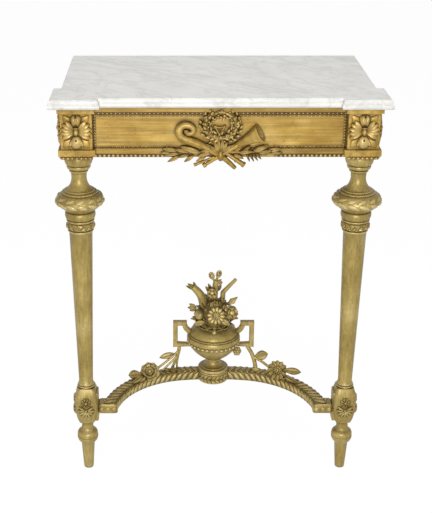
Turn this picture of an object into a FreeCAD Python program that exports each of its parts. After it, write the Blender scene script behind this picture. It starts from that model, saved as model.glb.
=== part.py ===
"""Wall-fixed pier table in giltwood with a marble top.

Frame: millimetres, +Z up, the front looks along -Y, the wall is the plane of the back.
The origin lies on the floor, under the middle of the table's plan.
"""
import FreeCAD, Part
import Sketcher
import math
import os

Vector = FreeCAD.Vector
Rotation = FreeCAD.Rotation
Placement = FreeCAD.Placement

# Driving dimensions in millimetres, grouped by the piece that they belong to
SIZES = {
    # whole table
    "overall_width": 690,
    "overall_depth": 405,
    "overall_height": 880,
    "joint_clearance": 0.2,
    "cut_overrun": 1,
    # marble slab
    "marble_thickness": 20,
    "marble_front_break": 16,
    "marble_side_break": 16,
    "marble_corner_width": 104,
    "marble_corner_length": 108,
    "marble_lower_tier": 11,
    "marble_tier_step": 3,
    "marble_lower_round": 5,
    "marble_upper_round": 6,
    # frieze rails
    "frieze_height": 108,
    "rail_thickness": 24,
    "rail_setback": 21,
    "cornice_height": 11,
    "cornice_projection": 12,
    "upper_bead_height": 8,
    "bead_seat_projection": 3,
    "lower_band_height": 11,
    "lower_band_projection": 6,
    "lower_bead_height": 8,
    "tenon_length": 15,
    "tenon_thickness": 9,
    "tenon_shoulder": 14,
    "back_rail_height": 84,
    "back_rail_thickness": 22,
    "back_tenon_length": 13,
    "wall_hole_spacing": 380,
    "wall_hole_radius": 3,
    "wall_hole_drop": 42,
    "glue_block_leg": 38,
    "glue_block_height": 70,
    "peg_radius": 3,
    "peg_drop": 54,
    "peg_step": 9,
    # bead strings
    "bead_pitch": 8.6,
    "bead_strip_thickness": 1,
    "upper_bead_radius": 3.3,
    "panel_bead_radius": 2.3,
    "lower_bead_radius": 3,
    "wreath_bead_gap": 90,
    "spray_bead_gap": 238,
    # corner blocks
    "leg_side_inset": 55,
    "leg_front_inset": 52,
    "block_width": 64,
    "block_lip": 5.5,
    "block_plinth_height": 13,
    "leg_dowel_radius": 14,
    "leg_dowel_length": 30,
    # rosettes on the corner blocks
    "rosette_width": 62,
    "rosette_height": 75,
    "rosette_relief": 9,
    # lower leg blocks
    "lower_block_base": 124,
    "lower_block_height": 88,
    "lower_block_foot_width": 46,
    "lower_block_waist_width": 50,
    "lower_block_head_width": 40,
    "lower_block_corner": 3,
    "stretcher_pad_reach": 27,
    "stretcher_pad_width": 34,
    "stretcher_pad_base": 130,
    "stretcher_pad_height": 70,
    # stretcher
    "stretcher_underside": 149,
    "stretcher_height": 26,
    "stretcher_width": 31,
    "stretcher_round": 5,
    "stretcher_end_length": 41,
    "hub_radius": 37,
    "hub_round": 4,
    "stretcher_dowel_radius": 5,
    "stretcher_dowel_length": 36,
    # urn
    "urn_dowel_radius": 6,
    "urn_dowel_length": 68,
    "handle_reach": 96,
    "handle_bar": 12,
    "handle_depth": 13,
    "handle_base": 56,
    "handle_top": 123,
    "handle_return": 65,
    # bouquet
    "mound_height": 56,
    "mound_radius": 33,
    "mound_belly_radius": 38,
    "mound_tip_radius": 6,
    "bouquet_height": 132,
    "daisy_radius": 20,
    "daisy_relief": 6,
    "rose_radius": 17,
    "rose_height": 26,
    "fruit_radius": 15,
    "branch_radius": 8,
    "bouquet_leaf_length": 30,
    "bouquet_leaf_width": 19,
    "bouquet_leaf_relief": 8,
    # garlands on the arms
    "garland_rose_radius": 21,
    "garland_rose_height": 20,
    "garland_leaf_length": 38,
    "garland_leaf_width": 17,
    "garland_leaf_relief": 7,
    "garland_twig_radius": 3.5,
    # trophy on the front rail
    "trophy_drop": 46.5,
    "wreath_radius": 33.5,
    "wreath_ring_radius": 6.5,
    "wreath_ground": 11,
    "wreath_leaf_length": 24,
    "wreath_leaf_width": 11,
    "wreath_leaf_relief": 8,
    "trumpet_length": 128,
    "trumpet_bell_radius": 23,
    "trumpet_tube_radius": 5.5,
    "horn_mouth_radius": 20,
    "horn_lip_radius": 4,
    "horn_length": 124,
    "pipe_radius": 5.5,
    "pipe_length": 46,
    "lyre_width": 22,
    "lyre_height": 32,
    "lyre_bar_radius": 2.6,
    "spray_leaf_length": 27,
    "spray_leaf_width": 13,
    "spray_leaf_relief": 9,
    "spray_reach": 104,
}

# Turned leg from the floor up: name, radius, height above the floor, bulge share to the next station
LEG_FOOT = (
    ("foot_tip", 8, 0, 0.2),
    ("foot_edge", 11, 3, 0),
    ("foot_top", 15, 65, 0),
    ("ball_seat", 16, 69, 0.12),
    ("ball_low", 23.2, 80, 0.05),
    ("ball_high", 23.2, 89, 0.15),
    ("ball_top", 17, 100, -0.12),
    ("ankle", 13.2, 112, -0.2),
    ("block_seat", 19, 125, 0),
    ("block_ring", 18.5, 213, 0.35),
    ("block_ring_top", 17.5, 220, 0),
    ("shaft_foot", 15.4, 224, 0),
)
# The same leg's head: name, radius, drop below the frieze, bulge share to the next station
LEG_HEAD = (
    ("shaft_head", 24.3, 171, 0),
    ("girdle_seat", 26.5, 168, 0),
    ("girdle_foot", 27.5, 165, 0.18),
    ("girdle_head", 28.5, 148, 0),
    ("torus_foot", 29, 143, 0.2),
    ("torus_head", 29, 122, 0),
    ("knob_seat", 28.3, 119.5, 0.06),
    ("knob_belly", 51, 97, 0.14),
    ("lower_ring", 45.5, 83.5, 0.12),
    ("upper_ring", 37.5, 76, 0.1),
    ("trumpet_foot", 31, 70.5, -0.2),
    ("neck", 16.6, 45, -0.06),
    ("collet_foot", 17, 36, 0.2),
    ("collet_head", 20, 31, 0),
    ("collar_foot", 21.5, 28.5, 0.2),
    ("collar_head", 24.5, 20.5, 0),
    ("vase_foot", 26, 18.5, 0.1),
    ("vase_top", 29, 0, 0),
)
# Urn: name, radius, height above the hub, bulge share to the next station
URN_FOOT = (
    ("socle", 35, 0, 0.35),
    ("socle_top", 33.5, 8, 0),
    ("scotia_foot", 26, 9, -0.2),
    ("urn_neck", 15.5, 26, 0),
)
URN_BOWL = (
    ("bowl_seat", 15.5, 26, -0.1),
    ("bowl_cup", 27, 35, 0.06),
    ("bowl_belly", 60, 71, 0.08),
    ("bowl_band", 62.5, 84, 0.05),
    ("bowl_shoulder", 58, 95, 0.12),
    ("bowl_rim", 36, 116, 0),
)
for stations, measure in ((LEG_FOOT, "rise"), (LEG_HEAD, "drop"), (URN_FOOT, "rise"), (URN_BOWL, "rise")):
    for name, radius, along, bulge_share in stations:
        SIZES[f"{name}_radius"] = radius
        SIZES[f"{name}_{measure}"] = along

# Angles of the bow in plan, measured from its middle
BOW_FLAT_ANGLE = math.radians(8)
BOW_END_ANGLE = math.radians(80)

doc = FreeCAD.newDocument("pier_table")
sheet = doc.addObject("Spreadsheet::Sheet", "dims")
for row, (name, value) in enumerate(SIZES.items(), 1):
    sheet.set(f"A{row}", name)
    sheet.set(f"B{row}", str(value))
    sheet.setAlias(f"B{row}", name)
doc.recompute()


class Size:
    """A length: the sheet expression that gives it, and its present value."""

    def __init__(self, text, value):
        self.text = text
        self.value = value

    def __add__(self, other):
        return Size(f"({self.text} + {other.text})", self.value + other.value)

    def __sub__(self, other):
        return Size(f"({self.text} - {other.text})", self.value - other.value)

    def __mul__(self, share):
        return Size(f"({share!r} * {self.text})", self.value * share)

    def __truediv__(self, divisor):
        return Size(f"({self.text} / {divisor!r})", self.value / divisor)

    def __neg__(self):
        return self * -1


class Cells:
    """The sheet's cells as sizes, one attribute for each alias."""

    def __getattr__(self, name):
        return Size(f"dims.{name}", SIZES[name])


dim = Cells()
ZERO = Size("0", 0)
SIDES = (("left", -1), ("right", 1))
nodes = []

# Places that several pieces share
half_width = dim.overall_width / 2
half_depth = dim.overall_depth / 2
frieze_top = dim.overall_height - dim.marble_thickness
frieze_bottom = frieze_top - dim.frieze_height
leg_x = half_width - dim.leg_side_inset
leg_y = dim.leg_front_inset - half_depth
block_half = dim.block_width / 2
rail_half_length = leg_x - block_half
panel_y = leg_y - block_half + dim.rail_setback
panel_x = leg_x + block_half - dim.rail_setback
rail_inner_x = panel_x - dim.rail_thickness
rail_back_y = panel_y + dim.rail_thickness
side_rail_front = leg_y + block_half
back_rail_front = half_depth - dim.back_rail_thickness
panel_bottom = frieze_bottom + dim.lower_bead_height + dim.lower_band_height
panel_top = frieze_top - dim.cornice_height - dim.upper_bead_height
upper_bead_level = frieze_top - dim.cornice_height - dim.upper_bead_height / 2
lower_bead_level = frieze_bottom + dim.lower_bead_height / 2
stretcher_top = dim.stretcher_underside + dim.stretcher_height
stretcher_middle = dim.stretcher_underside + dim.stretcher_height / 2
stretcher_end = leg_x - dim.stretcher_pad_reach
bow_half_span = stretcher_end - dim.stretcher_end_length


def node(thing, label):
    """Enters a finished object as a sub-part under its own name."""
    thing.Label = label
    nodes.append(thing)
    return thing


def bind(thing, **sizes):
    """Ties properties to the sheet."""
    for name, size in sizes.items():
        thing.setExpression(name, size.text)


def set_place(thing, x, y, z):
    """Ties the place of an object to the sheet."""
    for axis, size in zip("xyz", (x, y, z)):
        thing.setExpression(f"Placement.Base.{axis}", size.text)


def new_body(label):
    """An empty body, entered as a sub-part."""
    return node(doc.addObject("PartDesign::Body", label), label)


def origin_part(body, role):
    """One plane or axis of the body's own origin."""
    return next(part for part in body.Origin.OriginFeatures if part.Role == role)


def outline(body, name, role, corners, lift=None):
    """A closed sketch whose corners (x, y, bulge share) are all tied to the sheet.

    A bulge share of b makes the side to the next corner an arc that stands out to the right
    by b times its chord, and zero makes it straight.
    """
    sketch = body.newObject("Sketcher::SketchObject", name)
    sketch.AttachmentSupport = [(origin_part(body, role), "")]
    sketch.MapMode = "FlatFace"
    if lift:
        sketch.setExpression("AttachmentOffset.Base.z", lift.text)
    count = len(corners)
    ties = []

    def tie(geometry, end, x, y):
        for kind, size, axis in (("DistanceX", x, -2), ("DistanceY", y, -1)):
            if size is ZERO:
                ties.append((Sketcher.Constraint("PointOnObject", geometry, end, axis), None))
            else:
                rule = Sketcher.Constraint(kind, -1, 1, geometry, end, size.value)
                ties.append((rule, size.text))

    starts = []
    middles = []
    for index, (x, y, bulge_share) in enumerate(corners):
        next_x, next_y = corners[(index + 1) % count][:2]
        start = Vector(x.value, y.value, 0)
        end = Vector(next_x.value, next_y.value, 0)
        if not bulge_share:
            sketch.addGeometry(Part.LineSegment(start, end))
            starts.append((1, 2))
            continue
        middle_x = (x + next_x) / 2 + (next_y - y) * bulge_share
        middle_y = (y + next_y) / 2 - (next_x - x) * bulge_share
        middle = Vector(middle_x.value, middle_y.value, 0)
        if bulge_share > 0:
            sketch.addGeometry(Part.Arc(start, middle, end))
            starts.append((1, 2))
        else:
            sketch.addGeometry(Part.Arc(end, middle, start))
            starts.append((2, 1))
        middles.append((index, middle_x, middle_y, middle))
    for index, (x, y, bulge_share) in enumerate(corners):
        following = (index + 1) % count
        joint = Sketcher.Constraint("Coincident", index, starts[index][1], following, starts[following][0])
        ties.append((joint, None))
        tie(index, starts[index][0], x, y)
    for index, middle_x, middle_y, middle in middles:
        point = sketch.addGeometry(Part.Point(middle), True)
        tie(point, 1, middle_x, middle_y)
        ties.append((Sketcher.Constraint("PointOnObject", point, 1, index), None))
    sketch.addConstraint([rule for rule, text in ties])
    for index, (rule, text) in enumerate(ties):
        if text:
            sketch.setExpression(f"Constraints[{index}]", text)
    return sketch


def corners_of(*points):
    """Straight-sided outline corners."""
    return [(x, y, 0) for x, y in points]


def add_pad(body, name, sketch, length, symmetric=False):
    """A prism on a sketch."""
    pad = body.newObject("PartDesign::Pad", name)
    pad.Profile = sketch
    if symmetric:
        pad.SideType = "Symmetric"
    bind(pad, Length=length)
    return pad


def add_turning(body, name, corners):
    """A turned solid round the body's upright axis."""
    turning = body.newObject("PartDesign::Revolution", name)
    sketch = outline(body, f"{name}_profile", "XZ_Plane", corners)
    turning.Profile = sketch
    turning.ReferenceAxis = (sketch, ["V_Axis"])
    turning.Angle = 360
    return turning


def add_box(body, name, corner, sides, cut=False):
    """A box added to the body or cut out of it."""
    kind = "PartDesign::SubtractiveBox" if cut else "PartDesign::AdditiveBox"
    box = body.newObject(kind, name)
    bind(box, Length=sides[0], Width=sides[1], Height=sides[2])
    set_place(box, *corner)
    return box


def cut_bore(body, name, start, radius, length, axis):
    """A round hole that runs from its start along an axis."""
    bore = body.newObject("PartDesign::SubtractiveCylinder", name)
    bore.Placement = Placement(Vector(), Rotation(Vector(0, 0, 1), axis))
    bind(bore, Radius=radius, Height=length)
    set_place(bore, *start)
    return bore


def solid_rod(name, start, radius, length, axis):
    """A plain rod, such as a dowel or a peg, that runs from its start along an axis."""
    rod = doc.addObject("Part::Cylinder", name)
    rod.Placement = Placement(Vector(), Rotation(Vector(0, 0, 1), axis))
    bind(rod, Radius=radius, Height=length)
    set_place(rod, *start)
    return rod


def group(label, members):
    """Separate solids that share one node."""
    bundle = doc.addObject("Part::Compound", label)
    bundle.Links = members
    return node(bundle, label)


def stations_of(stations, measure, base, sign):
    """Outline corners of a turned stretch, from its station table."""
    corners = []
    for name, radius, along, bulge_share in stations:
        height = base + getattr(dim, f"{name}_{measure}") * sign
        corners.append((getattr(dim, f"{name}_radius"), height, bulge_share))
    return corners


def slab_outline(inset):
    """Plan of the slab with its two broken-out front corners, drawn in by an inset but at the wall."""
    edge = half_width - inset
    waist = half_width - dim.marble_side_break - inset
    front = inset - half_depth
    middle_front = front + dim.marble_front_break
    inner = half_width - dim.marble_corner_width + inset
    step = dim.marble_corner_length - half_depth - inset
    right = [
        (inner, middle_front), (inner, front), (edge, front), (edge, step), (waist, step),
        (waist, half_depth),
    ]
    left = [(-x, y) for x, y in reversed(right)]
    return corners_of(*right, *left)


def moulded_edges(shape, *heights):
    """Names of the level edges at some heights, but those at the wall."""
    names = []
    for index, edge in enumerate(shape.Edges, 1):
        box = edge.BoundBox
        level = any(abs(box.ZMin - height.value) < dim.joint_clearance.value for height in heights)
        at_wall = box.YMin > half_depth.value - dim.joint_clearance.value
        if level and box.ZLength < dim.joint_clearance.value and not at_wall:
            names.append(f"Edge{index}")
    return names


def round_edges(body, name, feature, radius, *heights):
    """Rounds the moulded edges of a body's latest feature."""
    doc.recompute()
    fillet = body.newObject("PartDesign::Fillet", name)
    fillet.Base = (feature, moulded_edges(feature.Shape, *heights))
    bind(fillet, Radius=radius)


def marble_top():
    """Slab in two tiers: a half-round lower edge, a small step and a quarter-round upper edge."""
    body = new_body("marble_top")
    set_place(body, ZERO, ZERO, frieze_top)
    plan = outline(body, "slab_lower_plan", "XY_Plane", slab_outline(ZERO))
    lower = add_pad(body, "slab_lower", plan, dim.marble_lower_tier)
    round_edges(body, "slab_lower_round", lower, dim.marble_lower_round, ZERO, dim.marble_lower_tier)
    plan = outline(body, "slab_upper_plan", "XY_Plane", slab_outline(dim.marble_tier_step))
    upper = add_pad(body, "slab_upper", plan, dim.marble_thickness)
    round_edges(body, "slab_upper_round", upper, dim.marble_upper_round, dim.marble_thickness)
    return body


def rail_section(face, back, outward):
    """Moulded section of a frieze rail: bead seat, lower band, sunk panel, bead seat and cornice."""
    seat = face + dim.bead_seat_projection * outward
    band = face + dim.lower_band_projection * outward
    cornice = face + dim.cornice_projection * outward
    band_bottom = frieze_bottom + dim.lower_bead_height
    cornice_bottom = frieze_top - dim.cornice_height
    points = [
        (back, frieze_bottom), (seat, frieze_bottom), (seat, band_bottom), (band, band_bottom),
        (band, panel_bottom), (face, panel_bottom), (face, panel_top), (seat, panel_top),
        (seat, cornice_bottom), (cornice, cornice_bottom), (cornice, frieze_top), (back, frieze_top),
    ]
    return corners_of(*points)


def front_rail():
    """Front frieze board with a tenon and a peg hole at each end."""
    body = new_body("front_rail")
    section = outline(body, "front_rail_section", "YZ_Plane", rail_section(panel_y, rail_back_y, -1))
    add_pad(body, "front_rail_board", section, rail_half_length * 2, symmetric=True)
    tenon_y = (panel_y + rail_back_y) / 2 - dim.tenon_thickness / 2
    tenon_height = dim.frieze_height - dim.tenon_shoulder * 2
    for name, side in SIDES:
        start = rail_half_length if side > 0 else -rail_half_length - dim.tenon_length
        add_box(body, f"front_{name}_tenon", (start, tenon_y, frieze_bottom + dim.tenon_shoulder),
                (dim.tenon_length, dim.tenon_thickness, tenon_height))
        cut_bore(body, f"front_{name}_peg_hole", *front_peg(side), Vector(0, -1, 0))
    return body


def front_peg(side):
    """Start, radius and length of the peg through a front tenon, driven from behind the block."""
    x = (rail_half_length + dim.tenon_length / 2) * side
    start = (x, leg_y + block_half, frieze_top - dim.peg_drop)
    return start, dim.peg_radius, block_half + dim.tenon_thickness


def side_peg(side):
    """Start, radius and length of the peg through a side tenon, driven from inside the block."""
    x = (leg_x - block_half) * side
    y = side_rail_front - dim.tenon_length / 2
    start = (x, y, frieze_top - dim.peg_drop - dim.peg_step)
    return start, dim.peg_radius, block_half + dim.tenon_thickness


def side_rail(label, side):
    """Side frieze board from the corner block to the wall, with a mortise for the back rail."""
    body = new_body(label)
    middle = (side_rail_front + half_depth) / 2
    set_place(body, ZERO, middle, ZERO)
    face = panel_x * side
    back = rail_inner_x * side
    section = outline(body, f"{label}_section", "XZ_Plane", rail_section(face, back, side))
    add_pad(body, f"{label}_board", section, half_depth - side_rail_front, symmetric=True)
    tenon_x = (face + back) / 2 - dim.tenon_thickness / 2
    add_box(body, f"{label}_tenon",
            (tenon_x, side_rail_front - dim.tenon_length - middle, frieze_bottom + dim.tenon_shoulder),
            (dim.tenon_thickness, dim.tenon_length, dim.frieze_height - dim.tenon_shoulder * 2))
    start, radius, length = side_peg(side)
    local = (start[0], start[1] - middle, start[2])
    cut_bore(body, f"{label}_peg_hole", local, radius, length, Vector(side, 0, 0))
    slack = dim.joint_clearance
    mortise_x = back if side > 0 else back - dim.back_tenon_length - slack
    y, z, thickness, height = back_tenon()
    add_box(body, f"{label}_mortise", (mortise_x, y - slack - middle, z - slack),
            (dim.back_tenon_length + slack, thickness + slack * 2, height + slack * 2), cut=True)


def back_tenon():
    """Place and section of the back rail's tenons."""
    y = back_rail_front + (dim.back_rail_thickness - dim.tenon_thickness) / 2
    z = frieze_top - dim.back_rail_height + dim.tenon_shoulder
    return y, z, dim.tenon_thickness, dim.back_rail_height - dim.tenon_shoulder * 2


def back_rail():
    """Plain board at the wall, tenoned into the side rails, with two holes for wall screws."""
    body = new_body("back_rail")
    add_box(body, "back_rail_board", (-rail_inner_x, back_rail_front, frieze_top - dim.back_rail_height),
            (rail_inner_x * 2, dim.back_rail_thickness, dim.back_rail_height))
    y, z, thickness, height = back_tenon()
    for name, start in (("left", -rail_inner_x - dim.back_tenon_length), ("right", rail_inner_x)):
        add_box(body, f"back_{name}_tenon", (start, y, z), (dim.back_tenon_length, thickness, height))
    for name, side in SIDES:
        x = dim.wall_hole_spacing * side / 2
        start = (x, back_rail_front - dim.cut_overrun, frieze_top - dim.wall_hole_drop)
        length = dim.back_rail_thickness + dim.cut_overrun * 2
        cut_bore(body, f"wall_hole_{name}", start, dim.wall_hole_radius, length, Vector(0, 1, 0))


def glue_block(label, side):
    """Three-cornered block glued into a rear corner of the frieze."""
    body = new_body(label)
    inner = rail_inner_x * side
    reach = (rail_inner_x - dim.glue_block_leg) * side
    plan = corners_of((inner, back_rail_front), (reach, back_rail_front),
                      (inner, back_rail_front - dim.glue_block_leg))
    sketch = outline(body, f"{label}_plan", "XY_Plane", plan, frieze_top - dim.glue_block_height)
    add_pad(body, f"{label}_prism", sketch, dim.glue_block_height)


def corner_block(label, side):
    """Square leg head with cap and plinth, mortised for two rails and bored for the leg."""
    body = new_body(label)
    set_place(body, leg_x * side, leg_y, ZERO)
    wide_half = block_half + dim.block_lip
    plinth_base = frieze_bottom + dim.lower_bead_height
    tiers = (
        ("die", block_half, frieze_bottom, dim.frieze_height),
        ("cap", wide_half, frieze_top - dim.cornice_height, dim.cornice_height),
        ("plinth", wide_half, plinth_base, dim.block_plinth_height),
    )
    for name, half, base, height in tiers:
        add_box(body, f"{label}_{name}", (-half, -half, base), (half * 2, half * 2, height))
    slack = dim.joint_clearance
    depth = dim.tenon_length + slack
    thickness = dim.tenon_thickness + slack * 2
    base = frieze_bottom + dim.tenon_shoulder - slack
    height = dim.frieze_height - dim.tenon_shoulder * 2 + slack * 2
    # the lips stop where the rails butt against the die
    lip = dim.block_lip + dim.cut_overrun
    tall = dim.frieze_height + dim.cut_overrun * 2
    low = frieze_bottom - dim.cut_overrun
    notch_x = block_half if side < 0 else -block_half - lip
    add_box(body, f"{label}_front_rail_notch", (notch_x, panel_y - dim.cornice_projection - leg_y, low),
            (lip, wide_half * 2, tall), cut=True)
    add_box(body, f"{label}_side_rail_notch", (-wide_half - dim.cut_overrun, block_half, low),
            (wide_half * 2 + dim.cut_overrun * 2, lip, tall), cut=True)
    front_y = (panel_y + rail_back_y) / 2 - leg_y - thickness / 2
    front_x = block_half - depth if side < 0 else -block_half
    add_box(body, f"{label}_front_mortise", (front_x, front_y, base), (depth, thickness, height), cut=True)
    side_x = ((panel_x + rail_inner_x) / 2 - leg_x) * side - thickness / 2
    side_y = block_half - depth
    add_box(body, f"{label}_side_mortise", (side_x, side_y, base), (thickness, depth, height), cut=True)
    cut_bore(body, f"{label}_leg_bore", (ZERO, ZERO, frieze_bottom), dim.leg_dowel_radius + slack,
             dim.leg_dowel_length + slack, Vector(0, 0, 1))
    for name, (start, radius, length), axis in (
            ("front", front_peg(side), Vector(0, -1, 0)), ("side", side_peg(side), Vector(side, 0, 0))):
        local = (start[0] - leg_x * side, start[1] - leg_y, start[2])
        cut_bore(body, f"{label}_{name}_peg_bore", local, radius, length, axis)


def turned_leg(label, side):
    """Leg turned in one piece, with a square lower block whose inner face takes the stretcher."""
    body = new_body(label)
    set_place(body, leg_x * side, leg_y, ZERO)
    (tip_radius, _, tip_bulge_share), *foot = stations_of(LEG_FOOT, "rise", ZERO, 1)
    head = stations_of(LEG_HEAD, "drop", frieze_bottom, -1)
    dowel_radius = dim.leg_dowel_radius
    dowel_top = frieze_bottom + dim.leg_dowel_length
    corners = [
        (ZERO, ZERO, 0), (tip_radius, ZERO, tip_bulge_share), *foot, *head,
        (dowel_radius, frieze_bottom, 0), (dowel_radius, dowel_top, 0), (ZERO, dowel_top, 0),
    ]
    add_turning(body, f"{label}_turning", corners)
    levels = (
        ("foot", dim.lower_block_foot_width, dim.lower_block_base),
        ("waist", dim.lower_block_waist_width, dim.lower_block_base + dim.lower_block_height / 2),
        ("head", dim.lower_block_head_width, dim.lower_block_base + dim.lower_block_height),
    )
    sections = []
    for name, width, height in levels:
        half = width / 2
        flat = half - dim.lower_block_corner
        plan = corners_of((half, -flat), (half, flat), (flat, half), (-flat, half),
                          (-half, flat), (-half, -flat), (-flat, -half), (flat, -half))
        sections.append(outline(body, f"{label}_{name}_section", "XY_Plane", plan, height))
    block = body.newObject("PartDesign::AdditiveLoft", f"{label}_lower_block")
    block.Profile = sections[0]
    block.Sections = sections[1:]
    pad_start = ZERO if side < 0 else -dim.stretcher_pad_reach
    add_box(body, f"{label}_stretcher_pad", (pad_start, -dim.stretcher_pad_width / 2, dim.stretcher_pad_base),
            (dim.stretcher_pad_reach, dim.stretcher_pad_width, dim.stretcher_pad_height))
    (x, y, z), radius, length, axis = leg_dowel(side)
    cut_bore(body, f"{label}_dowel_hole", (x - leg_x * side, y - leg_y, z), radius, length, axis)


def leg_dowel(side):
    """Start, radius, length and axis of the dowel between a leg and its stretcher arm."""
    start = ((stretcher_end + dim.stretcher_dowel_length / 2) * side, leg_y, stretcher_middle)
    return start, dim.stretcher_dowel_radius, dim.stretcher_dowel_length, Vector(-side, 0, 0)


def hub_dowel(side):
    """Start, radius, length and axis of the dowel between a stretcher arm and the hub."""
    start = ((dim.hub_radius + dim.stretcher_dowel_length / 2) * side, ZERO, stretcher_middle)
    return start, dim.stretcher_dowel_radius, dim.stretcher_dowel_length, Vector(-side, 0, 0)


def bow_plan():
    """Radii and centres of the bow's two arcs, flat in the middle and tight towards the leg.

    The middle line starts at the hub's centre and turns by the flat angle on the wide arc, then up to
    the end angle on the tight one, so span and depth give two linear equations for the two radii.
    """
    half = dim.stretcher_width / 2
    flat_sine, flat_cosine = math.sin(BOW_FLAT_ANGLE), math.cos(BOW_FLAT_ANGLE)
    end_sine, end_cosine = math.sin(BOW_END_ANGLE), math.cos(BOW_END_ANGLE)
    span = bow_half_span + half * end_sine
    depth = half - leg_y - half * end_cosine
    rise_share = flat_cosine - end_cosine
    run_share = end_sine - flat_sine
    scale = flat_sine * rise_share - (1 - flat_cosine) * run_share
    wide = span * (rise_share / scale) - depth * (run_share / scale)
    tight = depth * (flat_sine / scale) - span * ((1 - flat_cosine) / scale)
    tight_centre = ((wide - tight) * flat_sine, (wide - tight) * flat_cosine - wide)
    return wide, tight, tight_centre


def arc_bulge_share(angle):
    """Rise of an arc as a share of its chord."""
    return math.tan(angle / 4) / 2


# An arm's edge is rounded where it is longer than this share of the arm's width
LONG_EDGE_SHARE = 1.2


def stretcher_arm(label, side):
    """Half of the bowed stretcher: a curved bar with a square end at the leg."""
    body = new_body(label)
    wide, tight, (centre_x, centre_y) = bow_plan()
    half = dim.stretcher_width / 2
    flat_share = arc_bulge_share(BOW_FLAT_ANGLE) * side
    tight_share = arc_bulge_share(BOW_END_ANGLE - BOW_FLAT_ANGLE) * side

    def bow_point(offset, angle):
        if angle > BOW_FLAT_ANGLE:
            radius = tight + offset
            return (centre_x + radius * math.sin(angle)) * side, centre_y + radius * math.cos(angle)
        radius = wide + offset
        return (radius * math.sin(angle)) * side, radius * math.cos(angle) - wide

    back = [bow_point(half, angle) for angle in (0, BOW_FLAT_ANGLE, BOW_END_ANGLE)]
    front = [bow_point(-half, angle) for angle in (0, BOW_FLAT_ANGLE, BOW_END_ANGLE)]
    plan = [
        (ZERO, back[0][1], -flat_share), (*back[1], -tight_share), (*back[2], 0),
        (*front[2], tight_share), (*front[1], flat_share), (ZERO, front[0][1], 0),
    ]
    add_pad(body, f"{label}_bar", outline(body, f"{label}_plan", "XY_Plane", plan, dim.stretcher_underside),
            dim.stretcher_height)
    end_x = bow_half_span if side > 0 else -stretcher_end
    add_box(body, f"{label}_end", (end_x, leg_y - half, dim.stretcher_underside),
            (dim.stretcher_end_length, dim.stretcher_width, dim.stretcher_height))
    seat = (ZERO, ZERO, dim.stretcher_underside - dim.cut_overrun)
    seat_height = dim.stretcher_height + dim.cut_overrun * 2
    cut_bore(body, f"{label}_hub_seat", seat, dim.hub_radius, seat_height, Vector(0, 0, 1))
    for name, dowel in (("leg", leg_dowel(side)), ("hub", hub_dowel(side))):
        bore = cut_bore(body, f"{label}_{name}_dowel_hole", *dowel)
    doc.recompute()
    long_edges = [name for name in moulded_edges(bore.Shape, stretcher_top)
                  if bore.Shape.getElement(name).Length > dim.stretcher_width.value * LONG_EDGE_SHARE]
    fillet = body.newObject("PartDesign::Fillet", f"{label}_round")
    fillet.Base = (bore, long_edges)
    bind(fillet, Radius=dim.stretcher_round)
    return body


def stretcher_hub():
    """Round block in the middle of the stretcher, bored for the urn's dowel."""
    body = new_body("stretcher_hub")
    edge = dim.hub_round
    base = dim.stretcher_underside
    corners = [
        (ZERO, base, 0), (dim.hub_radius, base, 0), (dim.hub_radius, stretcher_top - edge, 0),
        (dim.hub_radius - edge, stretcher_top, 0), (ZERO, stretcher_top, 0),
    ]
    add_turning(body, "hub_turning", corners)
    start, length = urn_dowel_place()
    cut_bore(body, "hub_dowel_bore", start, dim.urn_dowel_radius, length, Vector(0, 0, 1))
    for name, side in SIDES:
        cut_bore(body, f"hub_{name}_dowel_hole", *hub_dowel(side))


def urn_dowel_place():
    """Start and length of the dowel that holds the urn on the hub."""
    top = stretcher_top + dim.bowl_seat_rise + dim.stretcher_height
    return (ZERO, ZERO, top - dim.urn_dowel_length), dim.urn_dowel_length


def urn():
    """Turned foot and bowl with two key-shaped handles."""
    start, length = urn_dowel_place()
    foot = new_body("urn_foot")
    profile = stations_of(URN_FOOT, "rise", stretcher_top, 1)
    hole = dim.urn_dowel_radius
    corners = [(hole, profile[0][1], 0), *profile, (hole, profile[-1][1], 0)]
    add_turning(foot, "urn_foot_turning", corners)
    bowl = new_body("urn_bowl")
    profile = stations_of(URN_BOWL, "rise", stretcher_top, 1)
    add_turning(bowl, "urn_bowl_turning", [(ZERO, profile[0][1], 0), *profile, (ZERO, profile[-1][1], 0)])
    cut_bore(bowl, "urn_bowl_dowel_hole", start, dim.urn_dowel_radius, length, Vector(0, 0, 1))
    doc.recompute()
    return bowl, {side: urn_handle(f"urn_{name}_handle", side, bowl) for name, side in SIDES}


# Rise of the arch where a handle comes down into the shoulder, as a share of its chord
HANDLE_ARCH_SHARE = 0.2


def urn_handle(label, side, bowl):
    """Square-bar handle: out from the belly, up, in along the top and down into the shoulder."""
    bar = dim.handle_bar
    low = stretcher_top + dim.handle_base
    high = stretcher_top + dim.handle_top
    outer = dim.handle_reach
    inner = outer - bar
    tip = dim.handle_return
    shoulder = dim.bowl_belly_radius - bar * 2
    foot = stretcher_top + dim.bowl_shoulder_rise
    arch_share = HANDLE_ARCH_SHARE * side
    path = [
        (shoulder, low, 0), (outer, low, 0), (outer, high, 0), (tip, high, -arch_share),
        (shoulder, foot, 0), (shoulder, foot - bar, 0), (shoulder + bar, foot - bar, arch_share),
        (tip + bar / 2, high - bar, 0), (inner, high - bar, 0), (inner, low + bar, 0),
        (shoulder, low + bar, 0),
    ]
    plan = [(x * side, z, bulge_share) for x, z, bulge_share in path]
    blank = doc.addObject("PartDesign::Body", f"{label}_blank")
    sketch = outline(blank, f"{label}_outline", "XZ_Plane", plan)
    add_pad(blank, f"{label}_bar", sketch, dim.handle_depth, symmetric=True)
    handle = doc.addObject("Part::Cut", label)
    handle.Base = blank
    handle.Tool = bowl
    return node(handle, label)


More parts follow.
